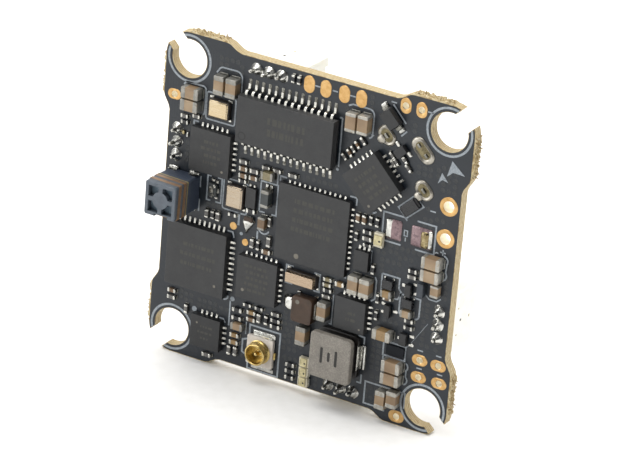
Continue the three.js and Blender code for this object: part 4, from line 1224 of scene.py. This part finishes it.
def sot(P, x, y, w, h, leads, top=0.5):
    brick(P, "ic2", x, y, w, h, 0.08, top, 0, 0.05, 0.04, 2, None, 0.03)
    for lx, ly in leads:
        a = 0 if lx > x else 180
        brick(P, "tin", lx, ly, 0.36, 0.24, 0.02, 0.11, a, 0.04, 0.03)
        puddle(P, lx + 0.1 * (1 if a == 0 else -1), ly, 0.36, 0.32, 0.09, a, 0.1, "solder", 3)
    take(x, y, w + 1.0, h + 0.2)


sot(P, 10.5, -2.28, 0.62, 1.15, ((9.98, -2.02), (11.02, -1.66), (11.08, -2.5)))
sot(P, 8.68, -4.72, 0.62, 1.2, ((8.2, -4.24), (8.2, -5.0), (9.3, -4.7)))
sot(P, 10.45, -6.86, 0.72, 1.15, ((9.98, -6.94), (11.1, -6.5), (11.1, -7.3)))
for bx, by, w1, cy in ((8.5, -2.3, 1.0, -3.15), (10.55, -3.48, 0.95, -4.42)):
    brick(P, "resist", bx, by, w1, 0.8, 0.03, 0.5, 0, 0.05, 0.05)
    chipcap(P, bx - 0.02, cy, 1.05, 0.66, 0.6, 0, "mlcc_gold" if bx < 9 else "mlcc", 0.24, "capend", 0.03, 0.08, 0.4)
    take(bx, by, w1, 1.0)
    for q in (-1, 1):
        puddle(P, bx + q * 0.42, by + 0.5, 0.24, 0.24, 0.1, 0, 0.07, "solder", 1)
brick(P, "slate", 11.72, -1.84, 0.62, 1.25, 0.03, 0.62, 0, 0.06, 0.06)
take(11.7, -1.85, 0.8, 1.5)
# black resistor in its printed frame
brick(P, "jet", 9.73, -8.24, 1.75, 0.95, 0.02, 0.24, 0, 0.05, 0.04)
take(9.7, -8.3, 2.3, 1.5)
P.done()

P = Piece("small_parts_lower_left")
H(P, -12.95, -9.25, 0.84, 0.38, 0.32, "mlcc_brown")
H(P, -12.97, -9.9, 0.84, 0.38, 0.32, "mlcc_grey")
H(P, -8.95, -14.35, 0.9, 0.4, 0.34, "mlcc_grey")
V(P, -11.38, -10.6, 0.84, 0.36, 0.3, "mlcc_grey")
H(P, -6.15, -9.15, 1.0, 0.42, 0.34, "resist")
H(P, -6.15, -9.95, 1.0, 0.4, 0.34, "resist")
chipcap(P, -5.85, -10.55, 1.2, 0.66, 0.6, 0, "mlcc", 0.24, "capend", 0.03, 0.08, 0.4)
H(P, -6.26, -11.62, 0.94, 0.42, 0.34, "mlcc_gold")
H(P, -6.26, -12.32, 0.94, 0.42, 0.34, "mlcc_gold")
V(P, -6.72, -13.2, 0.86, 0.38, 0.32, "mlcc_grey")
V(P, -6.07, -13.15, 0.86, 0.38, 0.32, "mlcc_grey")
H(P, -5.18, -8.4, 0.82, 0.32, 0.3, "resist")
H(P, -3.98, -8.4, 0.82, 0.32, 0.3, "resist")
H(P, -4.7, -9.0, 0.9, 0.4, 0.34, "mlcc_gold")
H(P, -4.7, -9.65, 0.9, 0.4, 0.34, "mlcc_brown")
V(P, -3.92, -9.3, 0.86, 0.4, 0.34, "mlcc_grey")
V(P, -3.2, -9.28, 0.86, 0.34, 0.3, "resist")
H(P, -2.3, -8.45, 0.84, 0.36, 0.32, "mlcc_grey")
H(P, -2.25, -9.05, 0.98, 0.38, 0.32, "resist")
H(P, -2.25, -9.62, 0.98, 0.38, 0.32, "resist")
for yy in (-12.75, -13.36, -13.97):
    H(P, -0.45, yy, 0.92, 0.36, 0.3, "resist")
P.done()

# ------------------------------------------------------------------ motor socket pins coming through, with their solder
P = Piece("pin_joints")
k = 0
for px, py, lx, ly in (
    (-6.0, 13.5, -0.1, 0.08), (-4.75, 13.5, 0.02, 0.1), (-3.5, 13.5, -0.05, 0.1),
    (-13.45, 6.1, 0.1, 0.05), (-13.45, 4.85, 0.05, 0.12), (-13.45, 3.6, 0.12, 0.0),
    (13.45, -3.45, 0.1, -0.12), (13.45, -4.7, 0.12, -0.05), (13.45, -5.95, 0.14, -0.1),
    (3.45, -13.4, 0.05, -0.1), (4.7, -13.4, 0.1, -0.05), (5.95, -13.4, 0.08, 0.08)):
    k += 1
    joint(P, px, py, 0.58, 0.42 + 0.05 * (k % 3), 1.05 + 0.1 * (k % 3), (lx, ly), k, "solder", pinw=0.32)
    take(px, py, 1.5, 1.5)
# solder of the USB legs round their slots
for sx, sy, half, r, blob in ((6.98, 10.92, 0.35, 0.36, (6.5, 10.5)), (10.92, 6.98, 0.35, 0.36, (10.45, 6.35)), (10.47, 10.47, 0.62, 0.34, None)):
    outer = slot_loop(0, 0, half * (0.8 if blob else 1.0), 0.7, 0, 14)
    for j in range(1):
        rings = []
        for t, n in ((1.0, 0.0), (0.99, 0.05), (0.93, 0.12), (0.83, 0.17), (0.72, 0.14), (0.64, 0.06)):
            rings.append(([(a * t, b * t) for a, b in outer], n))
        loft(P, "satin", rings, sx, sy, -45, True, "olive")
        rings = [([(a * t, b * t) for a, b in outer], n) for t, n in ((0.66, 0.05), (0.58, 0.02), (0.47, 0.06), (0.34, 0.02), (0.2, 0.0))]
        loft(P, "olive", rings, sx, sy, -45, True, "olive")
    if blob:
        lathe(P, "satin", blob[0], blob[1], [(0.42, 0.0), (0.41, 0.08), (0.35, 0.16), (0.2, 0.21), (0, 0.22)], 20, 0, 1, 1, 0.06, 3)
        brick(P, "dull", sx, sy, 0.5, 0.26, -0.3, 0.2, -45, 0.06, 0.05)
    else:
        for q in (-1, 1):
            brick(P, "dull", sx + q * 0.37, sy - q * 0.37, 0.4, 0.26, -0.3, 0.17, -45, 0.06, 0.05)
    take(sx, sy, 2.4, 2.4)
P.done()

# ------------------------------------------------------------------ gold pads
P = Piece("gold_pads")


def oval(P, x, y, w, h, mat="pad", hole=0.0, n=0.03):
    k = 32
    half = abs(w - h) / 2
    r = min(w, h) / 2

    def loop(rr_):
        pts = []
        for i in range(k):
            t = 2 * pi * (i + 0.5) / k
            cx, cy = rr_ * cos(t), rr_ * sin(t)
            if w > h:
                cx += half * (1 if cx > 0 else -1)
            elif h > w:
                cy += half * (1 if cy > 0 else -1)
            pts.append((x + cx, y + cy))
        return pts
    outer = loop(r)
    edge = loop(r - 0.025)
    if hole:
        inner = [(x + hole * cos(2 * pi * (i + 0.5) / k), y + hole * sin(2 * pi * (i + 0.5) / k)) for i in range(k)]
        lip = [(x + (hole + 0.05) * cos(2 * pi * (i + 0.5) / k), y + (hole + 0.05) * sin(2 * pi * (i + 0.5) / k)) for i in range(k)]
        vs = [(a, b, 0.0) for a, b in outer] + [(a, b, n) for a, b in edge] + [(a, b, n) for a, b in lip] + [(a, b, n - 0.025) for a, b in inner] + [(a, b, -0.5) for a, b in inner]
        faces = []
        for j in range(3):
            for i in range(k):
                p, q = j * k + i, j * k + (i + 1) % k
                faces.append((p, q, q + k, p + k))
        P.add(vs, faces, mat, True)
        # bore wall painted near white: painted light for the bright floor seen through the hole
        P.add(vs[3 * k:], [(i, (i + 1) % k, k + (i + 1) % k, k + i) for i in range(k)], "bore_painted_glow", True)
    else:
        vs = [(a, b, 0.0) for a, b in outer] + [(a, b, n) for a, b in edge]
        P.add(vs, [(i, (i + 1) % k, k + (i + 1) % k, k + i) for i in range(k)] + [tuple(range(k, 2 * k))], mat, True)
    take(x, y, w + 0.3, h + 0.3)


for px in (-0.84, 0.78, 2.6, 4.25):
    oval(P, px, 13.47, 1.07, 1.57)
oval(P, 8.47, 13.98, 1.04, 1.42, "pad", 0.3)
oval(P, 9.98, 13.98, 1.04, 1.42, "pad", 0.3)
oval(P, -14.03, 9.13, 1.38, 0.96, "pad", 0.3)
for px, py in ((12.07, -8.45), (13.87, -8.45), (12.1, -10.05), (14.1, -10.05)):
    oval(P, px, py, 1.5, 1.0, "pad", 0.3)
oval(P, 10.35, -14.36, 1.52, 1.12, "pad", 0.3)
oval(P, 13.37, 6.18, 1.72, 1.72, "pad", 0.5)
oval(P, 13.34, 3.25, 1.72, 1.72, "pad", 0.5)
oval(P, -7.2, -1.4, 0.72, 0.72)
oval(P, -5.9, -2.6, 0.66, 0.66)
P.done()

# ------------------------------------------------------------------ printed legend: outlines, rings and arrows only
P = Piece("printed_legend")
for sx, sy, c in ((1, 1, 45), (-1, 1, 135), (-1, -1, 225), (1, -1, 315)):
    gap = 27
    strip(P, "silk", arc(12.75 * sx, 12.75 * sy, 2.106, c + gap, c + 360 - gap, 72), 0.2)


def line(pts, w=0.14, closed=False):
    strip(P, "silk", pts, w, 0.0, 0.016, closed)


def frame_box(x0, y0, x1, y1, r=0.18, w=0.14, gaps=()):
    pts = []
    for cx, cy, a in ((x1 - r, y1 - r, 0), (x0 + r, y1 - r, 90), (x0 + r, y0 + r, 180), (x1 - r, y0 + r, 270)):
        pts += arc(cx, cy, r, a, a + 90, 4)
    line(pts, w, True)


line([(2.62, 11.3), (2.62, 6.85)], 0.14)
line([(2.62, 11.3), (2.35, 11.3)], 0.14)
lathe(P, "silk", 2.55, 6.62, [(0.14, 0), (0.14, 0.016), (0, 0.017)], 14)
line([(-2.9, 4.05), (-2.9, 4.5), (-2.25, 4.5)])
line([(4.0, 4.55), (4.68, 4.55), (4.68, 3.85)])
line([(3.3, -3.0), (4.3, -3.0)])
line([(-11.4, 7.25), (-11.88, 7.25), (-11.88, 6.88)])
line([(-7.75, -2.0), (-7.2, -2.0), (-7.05, -2.5)])
line(arc(-7.65, -8.1, 0.45, -90, 0, 6))
line([(-6.93, -8.5), (-6.93, -10.9)])
lathe(P, "silk", -6.74, -8.28, [(0.22, 0), (0.22, 0.016), (0, 0.017)], 16)
lathe(P, "silk", -10.53, -10.35, [(0.25, 0), (0.25, 0.016), (0, 0.017)], 16)
line([(-7.95, -10.43), (-7.5, -10.43), (-7.3, -10.75)])
frame_box(-10.76, 7.75, -7.84, 10.25, 0.2)
frame_box(-8.45, -0.05, -6.0, 2.85, 0.2)
line([(-9.75, 2.62), (-10.1, 2.62), (-10.1, 0.32), (-9.7, 0.32)])
line([(-9.1, 2.62), (-8.65, 2.62), (-8.65, 0.32), (-9.2, 0.32)])
line([(-10.82, 1.25), (-10.82, 2.3)])
line([(-10.82, -1.0), (-10.82, 0.15)])
line([(-9.95, 12.2)] + arc(-9.3, 12.3, 0.5, 160, 80, 5) + arc(-8.0, 12.2, 0.62, 100, 0, 6) + [(-7.38, 10.5)])
line([(-13.15, 10.3)] + arc(-12.8, 10.35, 0.25, 150, 90, 3) + [(-11.3, 10.6)] + arc(-11.2, 10.3, 0.3, 90, 0, 4) + [(-10.9, 8.3)] + arc(-11.2, 8.25, 0.3, 0, -60, 4))
line([(3.1, 12.6), (3.5, 12.8)] + arc(5.1, 12.3, 0.5, 90, 0, 5) + [(5.6, 10.6)] + arc(5.2, 10.6, 0.4, 0, -80, 5))
line(arc(13.3, 1.2, 0.5, 80, -30, 6) + arc(13.3, -0.1, 0.5, 40, -80, 6))
line(arc(12.7, 1.55, 0.25, 150, 60, 4), 0.12)
line([(7.1, -2.1), (7.25, -2.4), (7.25, -4.1), (6.9, -4.4)])
line([(4.4, -2.1), (4.2, -2.3)])
line([(8.55, -9.0), (8.55, -11.4)], 0.12)
line(arc(10.6, -9.5, 0.42, 60, -50, 6) + arc(10.6, -10.75, 0.45, 50, -70, 6))
line([(-4.75, 0.7), (-4.75, 3.55), (-3.05, 3.55), (-3.05, 0.7), (-3.5, 0.7)])
line([(-4.2, 0.7), (-4.75, 0.7)])
line([(-3.15, 3.6), (-3.15, 4.55), (-3.0, 4.7)])
line(arc(-4.15, -0.75, 0.55, 200, 340, 8))
line([(-4.75, -1.2), (-4.75, -1.95)], 0.18)
line([(-6.7, 0.0), (-6.7, -1.2)], 0.2)
lathe(P, "silk", -6.35, -1.9, [(0.16, 0), (0.16, 0.016), (0, 0.017)], 14)
line([(6.52, 0.2), (6.52, -1.65)])
line([(6.3, 3.6), (6.65, 3.82)])
line([(9.3, 4.1), (7.35, 4.1), (7.35, 1.5), (9.2, 1.5)], 0.15)
line([(10.6, 4.1), (12.4, 4.1), (12.4, 1.5), (10.6, 1.5)], 0.15)
line([(9.3, 4.16), (9.62, 3.86)], 0.13)
line([(9.45, 2.95), (9.75, 2.95), (9.75, 2.45), (9.45, 2.45)], 0.1, True)
line([(9.6, 2.3), (9.6, 1.95)], 0.1)
line([(8.66, 4.87), (9.5, 4.06), (11.05, 5.5), (10.15, 6.34)], 0.13, True)
line([(7.3, 13.8), (8.65, 12.4)])
line([(8.8, 11.75), (8.3, 11.2)])
line([(-0.9, -3.45), (-1.6, -3.45), (-1.6, -5.1), (-0.9, -5.1)], 0.14)
line([(1.2, -3.45), (1.78, -3.45), (1.78, -5.1), (1.2, -5.1)], 0.14)
line([(7.75, -1.55), (9.45, -1.55), (9.45, -2.5), (9.75, -2.85), (9.42, -3.5), (9.1, -3.55)], 0.15)
line([(7.75, -1.55), (7.75, -3.2)] + arc(8.05, -3.25, 0.3, 180, 260, 4), 0.15)
line([(10.2, -2.9), (9.65, -2.9), (9.65, -4.5)] + arc(9.95, -4.55, 0.3, 180, 260, 4), 0.15)
line([(10.9, -2.9), (11.6, -2.9), (11.6, -4.4)] + arc(11.2, -4.45, 0.4, 0, -85, 5), 0.15)
line([(12.0, -2.3), (12.4, -2.62), (13.1, -2.62), (13.5, -2.3)], 0.12)
line([(12.5, -4.9), (10.8, -7.6)], 0.035)
line([(8.5, -7.65), (10.65, -7.65), (10.65, -8.98), (8.5, -8.98)], 0.15, True)
line([(10.4, -11.97), (7.07, -11.97), (7.07, -14.05), (8.1, -14.05)], 0.15)
line([(10.4, -11.97), (11.0, -11.97), (11.0, -13.4)], 0.12)
line([(-4.75, -11.5), (-4.75, -10.15), (-1.65, -10.15), (-1.65, -14.35), (-4.75, -14.35), (-4.75, -13.2), (-5.4, -12.95), (-5.4, -11.75), (-4.75, -11.5)], 0.16)
line([(-5.15, -10.0), (-5.15, -11.2)], 0.1)
line([(6.0, -7.95), (6.62, -7.95), (6.62, -8.6)])
line([(6.2, -12.3), (6.62, -12.3), (6.62, -11.5)])
line([(3.0, -7.7), (3.25, -7.7), (3.25, -4.9)], 0.1)
for pts in (((13.28, 10.3), (12.9, 8.8), (13.45, 9.3), (14.55, 9.25)), ((12.43, 9.0), (12.12, 7.98), (12.52, 8.4), (13.08, 8.28))):
    tip = pts[0]
    plate(P, "silk", [pts[0], pts[1], pts[2]], 0.0, 0.016)
    plate(P, "silk", [pts[0], pts[2], pts[3]], 0.0, 0.0155)
# plain polarity and channel ticks beside the pads
for px, py in ((11.95, 5.35), (13.25, 1.95), (12.05, -7.55), (13.85, -7.55), (12.1, -9.22), (14.1, -9.22), (8.9, -14.2), (7.35, 14.0), (10.85, 14.0), (0.0, 13.5), (1.7, 13.5), (3.42, 13.5)):
    line([(px - 0.26, py), (px + 0.26, py)], 0.12)
line([(13.25, 1.69), (13.25, 2.21)], 0.12)
P.done()

# ------------------------------------------------------------------ plugged vias in the free areas
P = Piece("plugged_vias")
tries, made = 0, []
holes_xy = [(12.75 * a, 12.75 * b, 3.2) for a in (-1, 1) for b in (-1, 1)] + [(x, y, r + 0.8) for x, y, r in ROUND]
while len(made) < 190 and tries < 9000:
    tries += 1
    if RNG.random() < 0.55 and made:
        bx, by = made[-1]
        a = RNG.choice((0, 90, 180, 270))
        x, y = bx + 0.55 * cos(radians(a)), by + 0.55 * sin(radians(a))
    else:
        x, y = RNG.uniform(-14.0, 14.0), RNG.uniform(-14.0, 14.0)
    if abs(x) > 14.0 or abs(y) > 14.0:
        continue
    if any(abs(x - tx) < hw + 0.25 and abs(y - ty) < hh + 0.25 for tx, ty, hw, hh in TAKEN):
        continue
    if any(hypot(x - hx, y - hy) < hr for hx, hy, hr in holes_xy):
        continue
    if any(hypot(x - mx, y - my) < 0.5 for mx, my in made):
        continue
    made.append((x, y))
    lathe(P, "via", x, y, [(0.22, 0.0), (0.21, 0.012), (0.17, 0.016), (0.11, 0.01), (0.06, 0.003), (0, 0.002)], 14)
P.done()

# ------------------------------------------------------------------ back face
P = Piece("back_small_parts")
for sx, sy, rot in ((-4.75, 8.7, 0), (-8.7, 4.2, 90), (4.75, -8.7, 0), (8.7, -4.2, 90)):
    w, h = (3.6, 3.2)
    pads_on(P, sx, sy, w, h, [6, 0, 6, 0], 0.5, 0.3, rot, "EW", 0.26, "tin", -1.0, -1, 0.2)
    for q in (-1, 1):
        c, s = cos(radians(rot)), sin(radians(rot))
        for t in (-1.2, 0.0, 1.2):
            lx, ly = t, q * 2.15
            chipcap(P, sx + lx * c - ly * s, sy + lx * s + ly * c, 0.9, 0.44, 0.34, rot, "mlcc_brown" if t else "resist", 0.27, "tin", 0.02, 0.1, 0.6, True)
for i, (x, y, t) in enumerate(((0.0, 2.0, 0), (0.0, 3.2, 0), (1.6, 2.0, 90), (1.6, 3.4, 90), (-1.8, -1.4, 0), (-1.8, -2.4, 0), (2.6, -1.2, 90), (3.5, -1.2, 90), (-4.4, 1.0, 0), (-4.4, 0.0, 0), (3.8, 3.9, 0), (3.8, 5.0, 0), (-0.6, -4.8, 90), (-1.6, -4.8, 90), (-11.6, -3.4, 0), (-11.6, -4.5, 0), (11.8, 2.6, 90), (10.8, 2.6, 90), (1.0, 11.6, 0), (1.0, 12.7, 0), (-1.2, -11.8, 0), (-1.2, -12.9, 0))):
    chipcap(P, x, y, 1.0, 0.5, 0.4, t, ("mlcc", "resist", "mlcc_brown")[i % 3], 0.25, "tin", 0.02, 0.1, 0.6, True)
for x, y, t in ((6.6, 1.2, 90), (7.9, 1.2, 90), (-6.9, -3.4, 0), (-6.9, -4.8, 0)):
    chipcap(P, x, y, 1.75, 1.0, 0.93, t, "mlcc", 0.27, "capend", 0.03, 0.14, 0.4, True)
P.done()

P = Piece("back_memory_chip")
brick(P, "ic", -0.6, 6.6, 3.0, 2.0, -1.03, -1.6, 0, 0.05, 0.04)
pads_on(P, -0.6, 6.6, 3.0, 2.0, [0, 4, 0, 4], 0.65, 0.32, 0, "NS", 0.3, "tin", -1.0, -1, 0.2)
P.done()

P = Piece("back_sensor_chip")
brick(P, "steel", 3.2, -4.4, 2.0, 2.0, -1.03, -1.78, 0, 0.14, 0.06, 3)
pads_on(P, 3.2, -4.4, 2.0, 2.0, [3, 0, 3, 0], 0.6, 0.24, 0, "EW", 0.3, "tin", -1.0, -1, 0.15)
# a flat near-black disc: painted shade standing for the port hole
lathe(P, "hole", 3.7, -3.9, [(0.14, -1.78), (0.14, -1.784), (0, -1.785)][::1], 14)
P.done()

P = Piece("back_pads")
for x in (-13.4, -11.9, -10.4):
    plate(P, "pad", [(x + 0.5 * cos(2 * pi * i / 20), -13.9 + 0.5 * 0 + 0.5 * sin(2 * pi * i / 20)) for i in range(20)], -1.0, -1.03) if abs(x) < 9 else None
for x, y, w, h in ((13.37, 6.18, 1.75, 1.75), (13.34, 3.25, 1.75, 1.75), (8.47, 14.02, 1.04, 1.3), (9.98, 14.02, 1.04, 1.3), (-14.03, 9.13, 1.3, 1.0), (12.07, -8.44, 1.4, 1.0), (13.9, -8.44, 1.4, 1.0), (12.1, -10.03, 1.4, 1.0), (14.0, -10.03, 1.4, 1.0), (10.36, -14.36, 1.4, 1.1)):
    hr = 0.5 if w > 1.6 and h > 1.6 else 0.3
    k = 28
    o = [(x + w / 2 * cos(2 * pi * i / k), y + h / 2 * sin(2 * pi * i / k)) for i in range(k)]
    i_ = [(x + hr * cos(2 * pi * i / k), y + hr * sin(2 * pi * i / k)) for i in range(k)]
    vs = [(a, b, -1.0) for a, b in o] + [(a, b, -1.03) for a, b in o] + [(a, b, -1.03) for a, b in i_] + [(a, b, -0.98) for a, b in i_]
    faces = []
    for j in range(3):
        for i in range(k):
            p, q = j * k + i, j * k + (i + 1) % k
            faces.append((p, p + k, q + k, q))
    P.add(vs, faces, "pad", True)
P.done()

P = Piece("mounting_lands")
for sx, sy, c in ((1, 1, 45), (-1, 1, 135), (-1, -1, 225), (1, -1, 315)):
    strip(P, "pad", arc(12.75 * sx, 12.75 * sy, 2.07, c + 34, c + 326, 60), 0.54, -1.0, -1.05)
P.done()

P = Piece("back_legend")


def bline(pts, w=0.14, closed=False):
    strip(P, "silk", pts, w, -1.0, -1.016, closed)


for sx, sy, rot, w, h in ((-4.75, 12.85, 0, 5.9, 3.4), (-12.85, 4.75, 90, 5.9, 3.4), (4.75, -12.85, 0, 5.9, 3.4), (12.85, -4.75, 90, 5.9, 3.4), (-4.75, 8.7, 0, 4.5, 3.5), (-8.7, 4.2, 90, 4.5, 3.5), (4.75, -8.7, 0, 4.5, 3.5), (8.7, -4.2, 90, 4.5, 3.5), (-9.6, -9.2, 0, 3.5, 2.9), (-0.6, 6.6, 0, 3.3, 3.0)):
    a, b = w / 2, h / 2
    for q in ((-a, b, 0.6, 0), (a, b, -0.6, 0)):
        pass
    pts = [(-a, -b), (a, -b), (a, b), (-a, b)]
    for i in range(4):
        p, q = pts[i], pts[(i + 1) % 4]
        u = (p[0] + (q[0] - p[0]) * 0.22, p[1] + (q[1] - p[1]) * 0.22)
        v = (p[0] + (pts[i - 1][0] - p[0]) * 0.22, p[1] + (pts[i - 1][1] - p[1]) * 0.22)
        tri_ = [(x_, y_) for x_, y_, _ in turned([(v[0], v[1], 0), (p[0], p[1], 0), (u[0], u[1], 0)], sx, sy, rot)]
        if all(abs(x_) < 14.3 and abs(y_) < 14.3 for x_, y_ in tri_):
            bline(tri_)
P.done()

# contacts inside the motor sockets, and the tails that hold them to the board
P = Piece("socket_contacts")
for sx, sy, rot in ((-4.75, 12.85, 0), (-12.85, 4.75, 90), (4.75, -12.85, 180), (12.85, -4.75, -90)):
    for t in (-1.25, 0.0, 1.25):
        for bx, by, _ in turned([(t, 0.55, 0)], sx, sy, rot):
            brick(P, "gold", bx, by, 0.42, 0.42, -1.1, -4.35, rot, 0.06, 0.16, 2)
P.done()

# contact windows in the outer wall of each motor socket: thin plates on the wall, the near-black ones painted shade
# standing for the openings
P = Piece("socket_windows")
for sx, sy, rot in ((-4.75, 12.85, 0), (-12.85, 4.75, 90), (4.75, -12.85, 180), (12.85, -4.75, -90)):
    for t, n, w, h, mat in ((0.0, -2.3, 0.22, 0.24, "hole"), (0.1, -3.85, 0.24, 0.2, "edge"), (-1.25, -1.75, 0.14, 0.18, "edge"), (1.25, -1.75, 0.14, 0.18, "edge")):
        for bx, by, _ in turned([(t, 1.548, 0)], sx, sy, rot):
            brick(P, mat, bx, by, w, 0.024, n + h / 2, n - h / 2, rot, 0.006, 0.006)
P.done()

P = Piece("usb_contacts")
for i in range(5):
    v = (i - 2) * 0.65
    for bx, by, _ in turned([(11.7, v, 0)], 0, 0, 45):
        brick(P, "gold", bx, by, 2.7, 0.3, -2.24, -2.222 - 0.05, 45, 0.05, 0.015, 2)
P.done()


# ------------------------------------------------------------------ materials and softened edges on the nodes that stay
def dress(node, mat, bevel=0.04):
    for name, o in NODES.items():
        if name == node:
            o.data.materials.clear() if not o.data.materials else None
            if not o.material_slots:
                o.data.materials.append(M[mat])
            for s in o.material_slots:
                s.link = "OBJECT"
                s.material = M[mat]
            if bevel:
                b = o.modifiers.new("soft_edge", "BEVEL")
                b.width = bevel * 1e-3
                b.segments = 2
                b.limit_method = "ANGLE"
                b.angle_limit = radians(38)


NODES = {}
for o in bpy.data.objects:
    if o.type == "MESH":
        NODES[o.name] = o
DRESS = {
    "supply_diode": ("ic2", 0.03), "tower_antenna": ("antenna", 0.03),
    "motor_socket_top": ("nylon", 0.06), "motor_socket_left": ("nylon", 0.06), "motor_socket_bottom": ("nylon", 0.06), "motor_socket_right": ("nylon", 0.06),
    "motor_driver_chip_top": ("ic2", 0.03), "motor_driver_chip_left": ("ic2", 0.03), "motor_driver_chip_bottom": ("ic2", 0.03), "motor_driver_chip_right": ("ic2", 0.03),
    "usb_shell": ("steel", 0.05), "usb_tongue": ("black", 0.05), "boot_button_housing": ("steel", 0.05), "boot_button_plunger": ("black", 0.05),
}
missing = [n for n in DRESS if n not in NODES]
if missing:
    raise SystemExit("no object for %s among %s" % (missing, sorted(NODES)[:80]))
for n, (m, b) in DRESS.items():
    dress(n, m, b)

# ------------------------------------------------------------------ table, light and camera
floor_me = bpy.data.meshes.new("table")
S = 0.5
floor_me.from_pydata([(-S, -S, 0), (S, -S, 0), (S, S, 0), (-S, S, 0)], [], [(0, 1, 2, 3)])
floor = bpy.data.objects.new("table", floor_me)
bpy.context.scene.collection.objects.link(floor)
fm = Nodes("table_white")
grain = fm.noise(900, 3.0)
fm.set(Base_Color=fm.ramp(grain, [(0.3, (0.86, 0.86, 0.85, 1)), (0.7, (0.9, 0.9, 0.895, 1))]), Roughness=fm.rng(grain, 0.55, 0.7))
floor_me.materials.append(fm.mat)

w = bpy.data.worlds.new("studio")
bpy.context.scene.world = w
w.use_nodes = True
bg = w.node_tree.nodes.get("Background") or w.node_tree.nodes.new("ShaderNodeBackground")
bg.inputs[1].default_value = 1.06
# a bright room with a dim side, so that bright metal has something dark to reflect
wt = w.node_tree
wco = wt.nodes.new("ShaderNodeTexCoord").outputs["Generated"]
dim = wt.nodes.new("ShaderNodeVectorMath")
dim.operation = "DOT_PRODUCT"
wt.links.new(wco, dim.inputs[0])
dim.inputs[1].default_value = (0.53, -0.74, 0.42)
wr = wt.nodes.new("ShaderNodeValToRGB")
wr.color_ramp.elements[0].position = 0.55
wr.color_ramp.elements[0].color = (1.0, 0.995, 0.985, 1)
wr.color_ramp.elements[1].position = 0.86
wr.color_ramp.elements[1].color = (0.1, 0.1, 0.105, 1)
wt.links.new(dim.outputs["Value"], wr.inputs[0])
wt.links.new(wr.outputs[0], bg.inputs[0])


def lamp(name, loc, aim, size, power, colour=(1, 1, 1)):
    l = bpy.data.lights.new(name, "AREA")
    l.shape = "RECTANGLE"
    l.size, l.size_y = size
    l.energy = power
    l.color = colour
    o = bpy.data.objects.new(name, l)
    bpy.context.scene.collection.objects.link(o)
    o.location = loc
    o.rotation_mode = "QUATERNION"
    o.rotation_quaternion = (Vector(aim) - Vector(loc)).to_track_quat("-Z", "Y")
    return o


lamp("top_box", (-0.08, 0.02, 0.5), (0.0, 0.0, 0.01), (0.45, 0.35), 2.25, (1.0, 0.985, 0.96))
lamp("left_box", (-0.42, -0.34, 0.16), (0.0, 0.0, 0.015), (0.3, 0.3), 1.25, (0.98, 0.99, 1.0))
lamp("back_box", (0.3, 0.32, 0.3), (0.0, 0.0, 0.015), (0.36, 0.36), 0.75, (1.0, 0.99, 0.97))

cam_data = bpy.data.cameras.new("camera")
cam = bpy.data.objects.new("camera", cam_data)
bpy.context.scene.collection.objects.link(cam)
bpy.context.scene.camera = cam
cam_data.sensor_fit = "HORIZONTAL"
cam_data.sensor_width = 36.0
cam_data.lens = 199.26
cam_data.clip_start, cam_data.clip_end = 0.01, 20.0
rv = Vector((3.38493629, 0.321106968, -0.890727713))
R = Matrix.Rotation(rv.length, 3, rv.normalized())
axes = [Vector((R[i][0], -R[i][2], R[i][1])) for i in range(3)]
mat = Matrix((axes[0], -axes[1], -axes[2])).transposed().to_4x4()
mat.translation = Vector((0.129488, -0.238463, 0.131983))
cam.matrix_world = mat

bpy.context.scene.view_settings.view_transform = "Standard"
bpy.context.scene.view_settings.look = "None"
